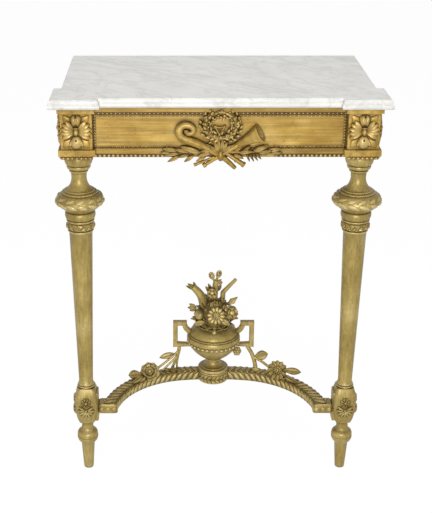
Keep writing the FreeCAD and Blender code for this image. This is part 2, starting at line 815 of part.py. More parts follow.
def hidden_joints():
    """Pegs and dowels, one group for each kind."""
    pegs = []
    dowels = []
    for name, side in SIDES:
        pegs.append(solid_rod(f"{name}_front_peg", *front_peg(side), Vector(0, -1, 0)))
        pegs.append(solid_rod(f"{name}_side_peg", *side_peg(side), Vector(side, 0, 0)))
        dowels.append(solid_rod(f"{name}_leg_dowel", *leg_dowel(side)))
        dowels.append(solid_rod(f"{name}_hub_dowel", *hub_dowel(side)))
    group("tenon_pegs", pegs)
    group("stretcher_dowels", dowels)
    start, length = urn_dowel_place()
    node(solid_rod("urn_dowel", start, dim.urn_dowel_radius, length, Vector(0, 0, 1)), "urn_dowel")


# Outline of a carved leaf, as shares of its length and width, and the place of its crown
LEAF_SHARES = ((0, 0), (0.22, -0.38), (0.55, -0.5), (1, 0), (0.55, 0.5), (0.22, 0.38))
LEAF_CROWN_SHARE = 0.45


def bead_row(name, start, run, length, radius, outward):
    """String of half beads on a thin strip; start lies on the seat, at the row's low end."""
    body = doc.addObject("PartDesign::Body", name)
    count = max(1, int(length.value / dim.bead_pitch.value))
    spare = (length - dim.bead_pitch * (count - 1)) / 2
    strip = dim.bead_strip_thickness
    corner, sides, centre = [], [], []
    for place, along, out in zip(start, run, outward):
        if along:
            corner.append(place)
            sides.append(length)
            centre.append(place + spare)
        elif out:
            corner.append(place if out > 0 else place - strip)
            sides.append(strip)
            centre.append(place + strip * out)
        else:
            corner.append(place - radius)
            sides.append(radius * 2)
            centre.append(place)
    add_box(body, f"{name}_strip", corner, sides)
    bead = body.newObject("PartDesign::AdditiveSphere", f"{name}_bead")
    bead.Placement = Placement(Vector(), Rotation(Vector(0, 0, 1), Vector(*outward)))
    bead.Angle1 = 0
    bind(bead, Radius=radius)
    set_place(bead, *centre)
    pattern = body.newObject("PartDesign::LinearPattern", f"{name}_pattern")
    pattern.Originals = [bead]
    pattern.Direction = (origin_part(body, "XYZ"[run.index(1)] + "_Axis"), [""])
    pattern.Occurrences = count
    bind(pattern, Length=dim.bead_pitch * (count - 1))
    body.Tip = pattern
    return body


def front_beads():
    """Bead strings of the front rail, left open where the trophy lies over them."""
    along, front, up = (1, 0, 0), (0, -1, 0), (0, 0, 1)
    seat = panel_y - dim.bead_seat_projection
    small = dim.panel_bead_radius
    rows = {
        "upper": (seat, upper_bead_level, dim.upper_bead_radius, dim.wreath_bead_gap / 2),
        "panel_head": (panel_y, panel_top - small, small, dim.wreath_bead_gap / 2),
        "panel_foot": (panel_y, panel_bottom + small, small, dim.spray_bead_gap / 2),
        "lower": (seat, lower_bead_level, dim.lower_bead_radius, dim.spray_bead_gap / 2),
    }
    made = {}
    for row, (y, z, radius, gap) in rows.items():
        length = rail_half_length - gap
        made[row] = [
            bead_row(f"front_left_{row}", (-rail_half_length, y, z), along, length, radius, front),
            bead_row(f"front_right_{row}", (gap, y, z), along, length, radius, front),
        ]
    height = panel_top - panel_bottom - small * 4
    end_x, end_z = rail_half_length - small, panel_bottom + small * 2
    ends = [bead_row(f"front_{name}_panel_end", (end_x * side, panel_y, end_z), up, height, small, front)
            for name, side in SIDES]
    group("front_upper_beads", made["upper"])
    group("front_panel_beads", made["panel_head"] + made["panel_foot"] + ends)
    group("front_lower_beads", made["lower"])


def side_beads(name, side):
    """Bead strings of one side rail."""
    along, out, up = (0, 1, 0), (side, 0, 0), (0, 0, 1)
    length = half_depth - side_rail_front
    seat = (panel_x + dim.bead_seat_projection) * side
    face = panel_x * side
    small = dim.panel_bead_radius
    node(bead_row(f"{name}_upper_beads", (seat, side_rail_front, upper_bead_level), along, length,
                  dim.upper_bead_radius, out), f"{name}_upper_beads")
    node(bead_row(f"{name}_lower_beads", (seat, side_rail_front, lower_bead_level), along, length,
                  dim.lower_bead_radius, out), f"{name}_lower_beads")
    panel = [bead_row(f"{name}_panel_{row}", (face, side_rail_front, level), along, length, small, out)
             for row, level in (("head", panel_top - small), ("foot", panel_bottom + small))]
    height = panel_top - panel_bottom - small * 4
    panel += [bead_row(f"{name}_panel_{end}", (face, y, panel_bottom + small * 2), up, height, small, out)
              for end, y in (("front", side_rail_front + small), ("wall", half_depth - small))]
    group(f"{name}_panel_beads", panel)


def block_beads(name, side):
    """Bead strings under the plinth of one corner block, on its front and outer faces."""
    radius = dim.lower_bead_radius
    y = leg_y - block_half
    front = bead_row(f"{name}_block_front_beads", (leg_x * side - block_half, y, lower_bead_level),
                     (1, 0, 0), dim.block_width, radius, (0, -1, 0))
    outer = bead_row(f"{name}_block_outer_beads", ((leg_x + block_half) * side, y, lower_bead_level),
                     (0, 1, 0), dim.block_width, radius, (side, 0, 0))
    group(f"{name}_block_beads", [front, outer])


def facing(x, y, z, turn):
    """Placement of a relief: its face looks along -Y, then turns about the upright by an angle in degrees."""
    upright = Rotation(Vector(1, 0, 0), 90)
    return Placement(Vector(x.value, y.value, z.value), Rotation(Vector(0, 0, 1), turn).multiply(upright))


# Splinters of a cut that are smaller than this share of the largest piece fall away
SPLINTER_SHARE = 0.001


def carve(label, shape, place, *neighbours):
    """Enters a carved piece at its place, cut back to what it lies against."""
    shape = shape.copy()
    shape.Placement = place.multiply(shape.Placement)
    for neighbour in neighbours:
        shape = shape.cut(neighbour.Shape)
    least = max(solid.Volume for solid in shape.Solids) * SPLINTER_SHARE
    kept = [solid for solid in shape.Solids if solid.Volume > least]
    piece = doc.addObject("Part::Feature", label)
    piece.Shape = Part.makeCompound(kept) if len(kept) > 1 else kept[0]
    return node(piece, label)


def fused(shapes):
    """One solid out of several that overlap."""
    return shapes[0].multiFuse(shapes[1:])


def carved_leaf(length, width, relief, ground=0):
    """Pointed leaf along +X with a flat back, upright edges as high as its ground, and a raised crown."""
    rim = [Vector(x * length, y * width, ground) for x, y in LEAF_SHARES]
    crown = Vector(LEAF_CROWN_SHARE * length, 0, ground + relief)
    loops = [[start, end, crown, start] for start, end in zip(rim, rim[1:] + rim[:1])]
    loops.append([*rim, rim[0]])
    faces = [Part.Face(Part.makePolygon(loop)) for loop in loops]
    leaf = Part.makeSolid(Part.makeShell(faces))
    if ground:
        leaf = leaf.fuse(faces[-1].extrude(Vector(0, 0, -ground)))
    return leaf


def sized_leaf(name, ground=0):
    """Carved leaf with the sizes of one ornament."""
    sizes = [getattr(dim, f"{name}_leaf_{measure}").value for measure in ("length", "width", "relief")]
    return carved_leaf(*sizes, ground)


def leaf_at(leaf, x, y, angle):
    """A leaf with its stalk at a place in the relief's plane, turned by an angle in degrees."""
    leaf.Placement = Placement(Vector(x, y, 0), Rotation(Vector(0, 0, 1), angle))
    return leaf


def spindle(start, end, radii, shares):
    """Round tapering rod between two points, with its radii at shares of its length."""
    axis = end - start
    length = axis.Length
    outline_points = [Vector(0, 0, 0)]
    outline_points += [Vector(radius, 0, share * length) for radius, share in zip(radii, shares)]
    outline_points += [Vector(0, 0, length), Vector(0, 0, 0)]
    rod = Part.Face(Part.makePolygon(outline_points)).revolve(Vector(), Vector(0, 0, 1), 360)
    rod.Placement = Placement(start, Rotation(Vector(0, 0, 1), axis))
    return rod


# Rosette: direction, reach as a share of the whole face, breadth as a share of its width
ROSETTE_SHARES = [(quarter * math.pi / 2, 0.5, 0.56) for quarter in range(4)]
ROSETTE_SHARES += [(quarter * math.pi / 2 + math.pi / 4, 0.58, 0.3) for quarter in range(4)]


def rosette(label, x, y, turn):
    """Four broad petals, four narrow leaves between them and a round boss."""
    width, height, relief = dim.rosette_width.value, dim.rosette_height.value, dim.rosette_relief.value
    petals = []
    for angle, length_share, width_share in ROSETTE_SHARES:
        reach = math.hypot(width * math.cos(angle), height * math.sin(angle)) * length_share
        petals.append(leaf_at(carved_leaf(reach, width * width_share, relief), 0, 0, math.degrees(angle)))
    petals.append(Part.makeSphere(relief, Vector(), Vector(0, 0, 1), 0, 90, 360))
    die_bottom = frieze_bottom + dim.lower_bead_height + dim.block_plinth_height
    level = (die_bottom + frieze_top - dim.cornice_height) / 2
    carve(label, fused(petals), facing(x, y, level, turn))


def trophy(rail, slab):
    """Wreath, lyre, trumpet, horn, pipes and laurel sprays on the middle of the front rail."""
    ground = facing(ZERO, panel_y, frieze_top - dim.trophy_drop, 0)
    wreath = carve("wreath", wreath_shape(), ground, rail, slab)
    lyre = carve("lyre", lyre_shape(), ground, rail, wreath)
    trumpet = carve("trumpet", trumpet_shape(), ground, rail, wreath, lyre)
    horn = carve("horn", horn_shape(), ground, rail, wreath, lyre, trumpet)
    pipes = carve("pipes", pipes_shape(), ground, rail, wreath, trumpet, horn)
    instruments = (trumpet_shape(), horn_shape())
    for name, side in SIDES:
        carve(f"{name}_spray", spray_shape(side, instruments), ground, rail, wreath, pipes)


# Leaf pairs round the wreath, and the angle of each leaf to its ring
WREATH_PAIRS = 12
WREATH_SPLAY = 28


def wreath_shape():
    """Ring on a raised ground, with pairs of laurel leaves all round."""
    radius, ring, ground = dim.wreath_radius.value, dim.wreath_ring_radius.value, dim.wreath_ground.value
    base = Part.makeCylinder(radius + ring, ground).cut(Part.makeCylinder(radius - ring, ground))
    torus = Part.makeTorus(radius, ring)
    torus.translate(Vector(0, 0, ground))
    leaves = []
    for index in range(WREATH_PAIRS):
        turn = 360 * index / WREATH_PAIRS
        for splay in (-WREATH_SPLAY, WREATH_SPLAY):
            leaf = sized_leaf("wreath")
            leaf.Placement = Placement(Vector(radius, 0, ground), Rotation(Vector(0, 0, 1), 90 + splay))
            leaf.rotate(Vector(), Vector(0, 0, 1), turn)
            leaves.append(leaf)
    return fused([base, torus, *leaves])


# Thickness of the lyre's arms as a share of its bow's
LYRE_SLIM_SHARE = 0.8


def lyre_shape():
    """Small lyre that stands in the wreath: a bowed frame, a yoke and a foot."""
    width, height, bar = dim.lyre_width.value, dim.lyre_height.value, dim.lyre_bar_radius.value
    bow_radius = width / 2 - bar
    slim = bar * LYRE_SLIM_SHARE
    bow = Part.makeTorus(bow_radius, bar)
    arms = [Part.makeCylinder(slim, height / 2, Vector(bow_radius * side, 0, 0), Vector(0, 1, 0))
            for side in (-1, 1)]
    yoke = Part.makeCylinder(bar, width, Vector(-width / 2, height / 2 - bar, 0), Vector(1, 0, 0))
    foot = Part.makeCone(slim, bar * 2, height / 2 - bow_radius, Vector(0, -bow_radius, 0), Vector(0, -1, 0))
    return fused([relief_half(piece) for piece in (bow, *arms, yoke, foot)])


def along_relief(start_shares, angle, length, lift):
    """Two points in the relief, from a start in shares of the wreath's radius, at an angle in degrees."""
    radius = dim.wreath_radius.value
    start = Vector(start_shares[0] * radius, start_shares[1] * radius, lift)
    turn = math.radians(angle)
    return start, start + Vector(math.cos(turn) * length, math.sin(turn) * length, 0)


# Start of each instrument in shares of the wreath's radius, its angle in degrees, the stations along it
# as shares of its length, and its radius at each station as a share of its tube's or bell's radius
TRUMPET_START_SHARES = (-0.95, -2.25)
TRUMPET_ANGLE = 31
TRUMPET_ALONG_SHARES = (0, 0.06, 0.08, 0.55, 0.75, 0.9, 1)
TRUMPET_TUBE_SHARES = (0.6, 1, 0.7, 1, 1.6)
TRUMPET_BELL_SHARES = (0.6, 1)
HORN_START_SHARES = (1.05, -2.45)
HORN_ANGLE = 143
HORN_ALONG_SHARES = (0, 0.1, 0.8, 1)
HORN_LIP_SHARES = (0.8, 1, 2, 2.6)
HORN_DISH_SHARE = 0.5
HORN_HOLLOW_SHARE = 0.3
PIPE_START_SHARES = (0.25, -1.45)
PIPE_ANGLE = -33
PIPE_ALONG_SHARES = (0, 0.6, 0.7, 0.95)
PIPE_RADIUS_SHARES = (0.7, 1, 0.8, 1)


def trumpet_shape():
    """Straight trumpet that rises to the right and flares to its bell."""
    bell, tube = dim.trumpet_bell_radius.value, dim.trumpet_tube_radius.value
    lift = tube + dim.horn_lip_radius.value
    start, end = along_relief(TRUMPET_START_SHARES, TRUMPET_ANGLE, dim.trumpet_length.value, lift)
    radii = [tube * share for share in TRUMPET_TUBE_SHARES] + [bell * share for share in TRUMPET_BELL_SHARES]
    return relief_half(spindle(start, end, radii, TRUMPET_ALONG_SHARES))


def relief_half(shape):
    """The part of a shape that stands in front of the relief's ground."""
    reach = dim.overall_width.value
    return shape.common(Part.makeBox(reach * 2, reach * 2, reach, Vector(-reach, -reach, 0)))


def horn_shape():
    """Horn that rises to the left, with its round mouth turned to the front."""
    mouth, lip = dim.horn_mouth_radius.value, dim.horn_lip_radius.value
    start, end = along_relief(HORN_START_SHARES, HORN_ANGLE, dim.horn_length.value, lip)
    tube = spindle(start, end, [lip * share for share in HORN_LIP_SHARES], HORN_ALONG_SHARES)
    dish = Part.makeCone(mouth * HORN_DISH_SHARE, mouth, lip * 2, Vector(end.x, end.y, 0))
    rim = Part.makeTorus(mouth - lip / 2, lip, Vector(end.x, end.y, lip * 2))
    hollow = Part.makeCone(mouth * HORN_HOLLOW_SHARE, mouth - lip, lip * 2, Vector(end.x, end.y, lip))
    return relief_half(fused([tube, dish, rim]).cut(hollow))


def pipes_shape():
    """Ends of two crossed pipes under the wreath."""
    radius = dim.pipe_radius.value
    pipes = []
    for side in (-1, 1):
        shares = (PIPE_START_SHARES[0] * side, PIPE_START_SHARES[1])
        angle = PIPE_ANGLE if side > 0 else 180 - PIPE_ANGLE
        start, end = along_relief(shares, angle, dim.pipe_length.value, radius)
        pipes.append(spindle(start, end, [radius * share for share in PIPE_RADIUS_SHARES], PIPE_ALONG_SHARES))
    return relief_half(fused(pipes))


# Laurel spray: place along its reach, lift as a share of the wreath's radius, angle in degrees
SPRAY_SHARES = (
    (0.10, -1.35, 18), (0.25, -1.25, -32), (0.3, -1.15, 40), (0.45, -1.22, -38),
    (0.5, -1.2, 21), (0.62, -1.2, -30), (0.66, -1.17, 16), (0.76, -1.2, -8),
)


def spray_shape(side, instruments):
    """Laurel spray that trails from the wreath's foot along the lower edge, cut back to the instruments."""
    reach, radius, ground = dim.spray_reach.value, dim.wreath_radius.value, dim.lower_band_projection.value
    leaves = []
    for along_share, lift_share, angle in SPRAY_SHARES:
        turn = angle if side > 0 else 180 - angle
        leaf = sized_leaf("spray", ground)
        leaves.append(leaf_at(leaf, along_share * reach * side, lift_share * radius, turn))
    start = Vector(SPRAY_SHARES[0][0] * reach * side, SPRAY_SHARES[0][1] * radius, ground)
    end = Vector(SPRAY_SHARES[-1][0] * reach * side, SPRAY_SHARES[-1][1] * radius, ground)
    stem = spindle(start, end, (dim.pipe_radius.value, dim.pipe_radius.value), (0, 1))
    pieces = [relief_half(piece) for piece in (stem, *leaves)]
    for instrument in instruments:
        pieces = [piece.cut(instrument) for piece in pieces]
    return fused([piece for piece in pieces if piece.Solids])


# Section of a rose from its stalk to its bud, as shares of its radius and height
BLOSSOM_SHARES = (
    (0, 0), (0.55, 0), (1, 0.22), (0.92, 0.5), (0.72, 0.5), (0.66, 0.78), (0.42, 0.74), (0.3, 1), (0, 1),
)


def turned_blossom(radius, height):
    """Full rose as stepped whorls of petals that close to a bud."""
    points = [Vector(radius * across, 0, height * up) for across, up in BLOSSOM_SHARES]
    return Part.Face(Part.makePolygon([*points, points[0]])).revolve(Vector(), Vector(0, 0, 1), 360)


# Places in the bouquet: x and y as shares of the mound's radius, z as a share of the bouquet's height
DAISY_SHARES = (0.08, -1.1, 0.31)
ROSE_SHARES = (1.05, -0.42, 0.26)
FRUIT_SHARES = (-1.05, -0.3, 0.25)
BRANCH_SHARES = (
    ((-0.3, 0, 0.2), (-1.9, -0.1, 0.77)),
    ((0.3, 0, 0.2), (1.45, -0.1, 0.88)),
    ((0, 0, 0.2), (0.27, -0.1, 1)),
)
BRANCH_ALONG_SHARES = (0, 0.35, 0.7, 0.9, 1)
BRANCH_RADIUS_SHARES = (0.6, 0.5, 1, 0.9, 0.3)
# Headings of the flowers and the fruit, as shares of one another
DAISY_AIM_SHARES = (0, -1, 0.35)
ROSE_AIM_SHARES = (0.5, -0.7, 0.6)
FRUIT_AIM_SHARES = (-0.5, -0.5, 0.7)
FRUIT_CROWN_SHARE = 0.9
DAISY_PETALS = 12
DAISY_PETAL_SHARE = 0.46
BOUQUET_LEAVES = 9
BOUQUET_LEAF_ANGLE = 35
BOUQUET_LEAF_SEAT_SHARE = 0.8
MOUND_BELLY_SHARE = 0.35
MOUND_BULGE_SHARES = (0.1, 0.15)


def bouquet_point(shares):
    """A place in the bouquet."""
    radius = dim.mound_radius.value
    rim = (stretcher_top + dim.bowl_rim_rise).value
    return Vector(shares[0] * radius, shares[1] * radius, rim + shares[2] * dim.bouquet_height.value)


def aimed(shape, place, heading_shares):
    """A shape whose own +Z points along a heading from a place."""
    shape.Placement = Placement(place, Rotation(Vector(0, 0, 1), Vector(*heading_shares)))
    return shape


def bouquet(bowl):
    """Foliage mound in the urn's mouth, with its flowers, fruit, leaves and branches."""
    rim = stretcher_top + dim.bowl_rim_rise
    mound = new_body("bouquet_mound")
    belly = rim + dim.mound_height * MOUND_BELLY_SHARE
    top = rim + dim.mound_height
    corners = [
        (ZERO, rim, 0), (dim.mound_radius, rim, MOUND_BULGE_SHARES[0]),
        (dim.mound_belly_radius, belly, MOUND_BULGE_SHARES[1]), (dim.mound_tip_radius, top, 0),
        (ZERO, top, 0),
    ]
    add_turning(mound, "mound_turning", corners)
    doc.recompute()
    here = Placement()
    flower = aimed(daisy_shape(), bouquet_point(DAISY_SHARES), DAISY_AIM_SHARES)
    daisy = carve("bouquet_daisy", flower, here, mound, bowl)
    blossom = turned_blossom(dim.rose_radius.value, dim.rose_height.value)
    blossom = aimed(blossom, bouquet_point(ROSE_SHARES), ROSE_AIM_SHARES)
    rose = carve("bouquet_rose", blossom, here, mound, daisy)
    fruit = aimed(fruit_shape(), bouquet_point(FRUIT_SHARES), FRUIT_AIM_SHARES)
    pomegranate = carve("bouquet_pomegranate", fruit, here, mound, daisy)
    radii = [dim.branch_radius.value * share for share in BRANCH_RADIUS_SHARES]
    for name, (start, end) in zip(("left_branch", "right_branch", "bud"), BRANCH_SHARES):
        rod = spindle(bouquet_point(start), bouquet_point(end), radii, BRANCH_ALONG_SHARES)
        carve(f"bouquet_{name}", rod, here, mound, rose, pomegranate, daisy)
    leaves = []
    for index in range(BOUQUET_LEAVES):
        turn = 360 * (index + 0.5) / BOUQUET_LEAVES - 90
        leaf = sized_leaf("bouquet")
        leaf.rotate(Vector(), Vector(0, 1, 0), -BOUQUET_LEAF_ANGLE)
        leaf.translate(Vector(dim.mound_radius.value * BOUQUET_LEAF_SEAT_SHARE, 0, rim.value))
        leaf.rotate(Vector(), Vector(0, 0, 1), turn)
        leaves.append(leaf)
    carve("bouquet_leaves", Part.makeCompound(leaves), here, mound, bowl, daisy, rose, pomegranate)


def daisy_shape():
    """Flat flower: a ring of petals, a button and a stalk."""
    radius, relief = dim.daisy_radius.value, dim.daisy_relief.value
    petals = []
    for index in range(DAISY_PETALS):
        petal = carved_leaf(radius, radius * DAISY_PETAL_SHARE, relief)
        petals.append(leaf_at(petal, 0, 0, 360 * index / DAISY_PETALS))
    button = Part.makeSphere(relief)
    stalk = Part.makeCylinder(relief, radius, Vector(0, 0, -radius))
    return fused([*petals, button, stalk])


def fruit_shape():
    """Pomegranate: a ball with its open crown."""
    radius, crown = dim.fruit_radius.value, dim.daisy_relief.value
    foot = Vector(0, 0, radius * FRUIT_CROWN_SHARE)
    return fused([Part.makeSphere(radius), Part.makeCone(crown / 2, crown, radius / 2, foot)])


def arm_point(x):
    """Place and heading, in degrees, of the bow's middle line at a distance from the hub's centre."""
    wide, tight, (centre_x, centre_y) = bow_plan()
    sine = (x - centre_x.value) / tight.value
    return centre_y.value + tight.value * math.sqrt(1 - sine * sine), -math.degrees(math.asin(sine))


# Place of a garland's rose, as a share of the bow's half span
GARLAND_ROSE_SHARE = 0.676
# Garland leaves: place as a share of the rose's distance from the hub, angle to the arm's heading in degrees
GARLAND_SHARES = ((0.72, 10), (0.74, -14), (1.12, 12), (1.14, -12), (1.27, 0))
# Foot of the twig, as the same share
TWIG_FOOT_SHARE = 0.65


def garland(name, side, arm, handle):
    """Rose and leaves that lie on one stretcher arm, with a twig up to the urn's handle."""
    level = stretcher_top.value
    place = bow_half_span.value * GARLAND_ROSE_SHARE
    y, heading = arm_point(place)
    rose = turned_blossom(dim.garland_rose_radius.value, dim.garland_rose_height.value)
    rose.translate(Vector(place, y, level))
    pieces = [rose]
    for along_share, angle in GARLAND_SHARES:
        x = place * along_share
        y, heading = arm_point(x)
        leaf = sized_leaf("garland")
        outward = heading if along_share > 1 else heading + 180
        leaf.Placement = Placement(Vector(x, y, level), Rotation(Vector(0, 0, 1), outward + angle))
        pieces.append(leaf)
    foot_x = place * TWIG_FOOT_SHARE
    foot = Vector(foot_x, arm_point(foot_x)[0], level)
    head = Vector((dim.handle_reach - dim.handle_bar / 2).value, 0, (stretcher_top + dim.handle_base).value)
    twig = dim.garland_twig_radius.value
    pieces.append(spindle(foot, head, (twig, twig), (0, 1)))
    shape = fused(pieces)
    if side < 0:
        shape = shape.mirror(Vector(), Vector(1, 0, 0))
    carve(f"{name}_garland", shape, Placement(), arm, handle)


slab = marble_top()
rail = front_rail()
back_rail()
arms = {}
for name, side in SIDES:
    side_rail(f"{name}_side_rail", side)
    glue_block(f"{name}_glue_block", side)
    corner_block(f"{name}_corner_block", side)
    turned_leg(f"{name}_leg", side)
    arms[side] = stretcher_arm(f"stretcher_{name}_arm", side)
    side_beads(name, side)
    block_beads(name, side)
    rosette(f"{name}_front_rosette", leg_x * side, leg_y - block_half, 0)
    rosette(f"{name}_outer_rosette", (leg_x + block_half) * side, leg_y, 90 * side)
stretcher_hub()
bowl, handles = urn()
hidden_joints()
front_beads()
doc.recompute()
trophy(rail, slab)
bouquet(bowl)
for name, side in SIDES:
    garland(name, side, arms[side], handles[side])


def write_parts():
    """Checks every object and every sub-part, then writes each sub-part to its own file."""
    doc.recompute()
    failed = [thing.Name for thing in doc.Objects if {"Invalid", "Error"} & set(thing.State)]
    if failed:
        raise RuntimeError(f"objects that did not compute: {failed}")
    for thing in nodes:
        shape = thing.Shape
        if shape.isNull() or not shape.isValid() or not shape.Solids:
            raise RuntimeError(f"{thing.Label} has no valid solid")
    os.makedirs("parts", exist_ok=True)
    for thing in nodes:
        thing.Shape.exportStep(f"parts/{thing.Label}.step")
        print(f"{thing.Label}: {len(thing.Shape.Solids)} solid(s), {thing.Shape.Volume:.0f} mm3")


write_parts()
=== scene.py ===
# %% [markdown]
# # A giltwood pier table
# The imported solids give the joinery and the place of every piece. Here they get the carver's work,
# the gilding and the marble. Nothing is moved: each new surface is worked out in the same frame, +Z
# up and the front towards -Y. The arrays are in millimetres, and become metres when a mesh is made.

# %% Load the frame
import math
import bpy
import mathutils
import numpy as np
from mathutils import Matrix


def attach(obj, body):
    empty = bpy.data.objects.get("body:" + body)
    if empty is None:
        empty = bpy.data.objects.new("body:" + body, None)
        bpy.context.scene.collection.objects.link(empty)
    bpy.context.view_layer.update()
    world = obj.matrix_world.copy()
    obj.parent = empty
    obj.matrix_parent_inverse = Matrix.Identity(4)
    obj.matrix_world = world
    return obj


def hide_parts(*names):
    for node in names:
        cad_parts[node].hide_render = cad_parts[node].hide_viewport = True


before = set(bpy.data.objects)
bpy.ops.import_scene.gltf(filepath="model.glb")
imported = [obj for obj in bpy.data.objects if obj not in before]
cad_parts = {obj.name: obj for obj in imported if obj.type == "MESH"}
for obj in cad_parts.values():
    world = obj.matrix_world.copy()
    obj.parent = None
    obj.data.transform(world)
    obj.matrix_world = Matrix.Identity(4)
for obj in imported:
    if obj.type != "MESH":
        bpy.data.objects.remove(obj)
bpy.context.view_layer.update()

print("frame:", len(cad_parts), "nodes")

# %% [markdown]
# ## Forms
# A carved piece is made of forms. A form is three arrays: points, four-cornered faces, and two
# marks for each point. The first mark says how much dirt and painted shade lie there, the
# second how much paler the gold is, from wear and from a painted highlight. The carving could be
# sculpted by hand, but a function of two parameters on a grid can be repeated, placed exactly and
# read again.

# %% Angles and points
TAU = 2 * math.pi


def angles(count, first=0.0):
    """Angles of equal steps round a full turn; the first one lies at a share of a step."""
    return (np.arange(count) + first) * TAU / count


def xyz(x, y, z):
    """Points out of three arrays that fit each other."""
    return np.stack(np.broadcast_arrays(x, y, z), axis=-1)


def spokes(turn):
    """Flat vectors of length one, at each angle."""
    return xyz(np.cos(turn), np.sin(turn), 0.0)


def unit(vectors):
    """Vectors of length one."""
    vectors = np.asarray(vectors, float)
    return vectors / np.linalg.norm(vectors, axis=-1, keepdims=True)


# %% Forms on grids
def outward(points, faces):
    """Faces of a closed form, turned round if its signed volume says that they look inwards."""
    corner = points[faces] - points.mean(axis=0)
    lean = np.cross(corner[:, 1], corner[:, 2]) + np.cross(corner[:, 2], corner[:, 3])
    return faces if np.einsum("ij,ij->", corner[:, 0], lean) > 0 else faces[:, ::-1]


def grid(points, marks=(0.0, 0.0)):
    """Closed form over points[row, column]: columns run round, and rows that shrink to a point
    close the ends."""
    rows, columns = points.shape[:2]
    index = np.arange(rows * columns).reshape(rows, columns)
    index = np.concatenate([index, index[:, :1]], axis=1)
    faces = np.stack([index[:-1, :-1], index[:-1, 1:], index[1:, 1:], index[1:, :-1]], axis=-1)
    flat = points.reshape(-1, 3)
    return (flat, outward(flat, faces.reshape(-1, 4)),
            np.broadcast_to(marks, (rows, columns, 2)).reshape(-1, 2))


def closed(rings):
    """Rows of points with a row at each end that shrinks to the middle of the last ring."""
    ends = [np.broadcast_to(rings[row].mean(axis=0), rings[:1].shape) for row in (0, -1)]
    return np.concatenate([ends[0], rings, ends[1]])


# %% Copies and joins
def copies(form, places, turns=None):
    """Copy k of a form is turns[k] @ point + places[k]; without turns the copies stay as they
    are."""
    points, faces, marks = form
    places = np.atleast_2d(places)
    turns = np.broadcast_to(np.eye(3) if turns is None else turns, (len(places), 3, 3))
    moved = np.einsum("kij,nj->kni", turns, points) + places[:, None, :]
    shift = np.arange(len(places))[:, None, None] * len(points)
    turned = np.where(np.linalg.det(turns)[:, None, None] < 0, faces[None, :, ::-1], faces[None])
    return moved.reshape(-1, 3), (turned + shift).reshape(-1, 4), np.tile(marks, (len(places), 1))


def join(*forms):
    """One form out of several, with its faces numbered through."""
    points, faces, marks = zip(*forms)
    starts = np.cumsum([0] + [len(part) for part in points])
    faces = [part + start for part, start in zip(faces, starts)]
    return np.concatenate(points), np.concatenate(faces), np.concatenate(marks)


# %% Dirt and painted shade, wear and painted highlight, mirror
def dirty(form, dirt_and_shade):
    """One share of dirt and painted shade all over the same form, and no wear or painted highlight.
    """
    return form[0], form[1], np.broadcast_to((dirt_and_shade, 0.0), form[2].shape)


def with_shade_and_wear(form, dirt_and_shade, wear_and_highlight=0.0):
    """The same form with a share of its dirt and painted shade taken off, and with more or less of
    its gold paled by wear and a painted highlight."""
    return form[0], form[1], np.clip(form[2] * (dirt_and_shade, 1.0) + (0.0, wear_and_highlight), 0, 1)


def mirrored(form):
    """The same form on the other side of the table's middle plane."""
    return form[0] * (-1, 1, 1), form[1][:, ::-1], form[2]


# %% Directions
UP = np.array([0, 0, 1.0])


def axes(along, out):
    """Turn that sets a form's x along one direction and its z as near as it can to another."""
    along = unit(along)
    across = unit(np.cross(np.broadcast_to(out, along.shape), along))
    return np.stack([along, across, np.cross(along, across)], axis=-1)


def about_z(form, degrees, x=0.0, y=0.0, z=0.0):
    """A relief turned in its own plane, x to the right and y up, and moved."""
    cos, sin = math.cos(math.radians(degrees)), math.sin(math.radians(degrees))
    return copies(form, (x, y, z), [[cos, -sin, 0], [sin, cos, 0], [0, 0, 1]])


def stand(form, place, right):
    """A relief set up on a wall: its x goes to the right, its y up and its z out of the wall."""
    return copies(form, place, np.stack([right, UP, np.cross(right, UP)], axis=-1))


def aim(form, place, heading):
    """A flower whose own z points along a heading."""
    heading = unit(heading)
    side = unit(np.cross((0.1, 0.2, 1.0), heading))
    return copies(form, place, np.stack([side, np.cross(heading, side), heading], axis=-1))


# %% Meshes from forms
METRES_PER_MM = 0.001


def piece(name, node, form, material, caps=(), crease=42):
    """Mesh object of a form. Equal points are welded, quads that lost a corner become triangles,
    and faces that meet at more than the crease angle keep a sharp edge. Caps are further faces, as
    lists of point numbers."""
    points, faces, marks = form
    _, first, number = np.unique(np.round(points, 3), axis=0, return_index=True,
                                 return_inverse=True)
    number = number.reshape(-1)
    faces = number[faces]
    kept = faces != np.roll(faces, -1, axis=1)
    corners = kept.sum(axis=1)
    quads, triangles = faces[corners == 4], faces[corners == 3][kept[corners == 3]].reshape(-1, 3)
    mesh = bpy.data.meshes.new(name)
    mesh.from_pydata((points[first] * METRES_PER_MM).tolist(), [],
                     quads.tolist() + triangles.tolist() + [number[cap].tolist() for cap in caps])
    mesh.validate()
    mesh.shade_smooth()
    mesh.set_sharp_from_angle(angle=math.radians(crease))
    for mark, values in zip(("dirt_and_shade", "wear_and_highlight"), marks[first].T):
        attribute = mesh.attributes.new(mark, "FLOAT", "POINT")
        attribute.data.foreach_set("value", np.ascontiguousarray(values))
    mesh.materials.append(material)
    thing = bpy.data.objects.new(name, mesh)
    bpy.context.scene.collection.objects.link(thing)
    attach(thing, "root")
    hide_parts(node)
    print(name, len(first), "points,", len(quads) + len(triangles), "faces")


# %% [markdown]
# ## Materials
# The frame is carved wood, coated with gesso and bole and gilded: a satin gold, brown in the
# hollows where wax and dust lie and where shade is painted, paler where hands have rubbed it and
# where a highlight is painted. The slab is honed white marble with faint grey clouds. The hidden
# rails are bare softwood. Painted maps would be tied to one mesh, so every pattern is worked out
# from the point's own place instead. Colours are written as sRGB and turned to linear by one
# function.


# %% Colours and nodes
def linear(code):
    """Linear colour of an sRGB hex value."""
    values = np.array([int(code[start:start + 2], 16) for start in (0, 2, 4)]) / 255
    values = np.where(values <= 0.04045, values / 12.92, ((values + 0.055) / 1.055) ** 2.4)
    return (*values.tolist(), 1.0)


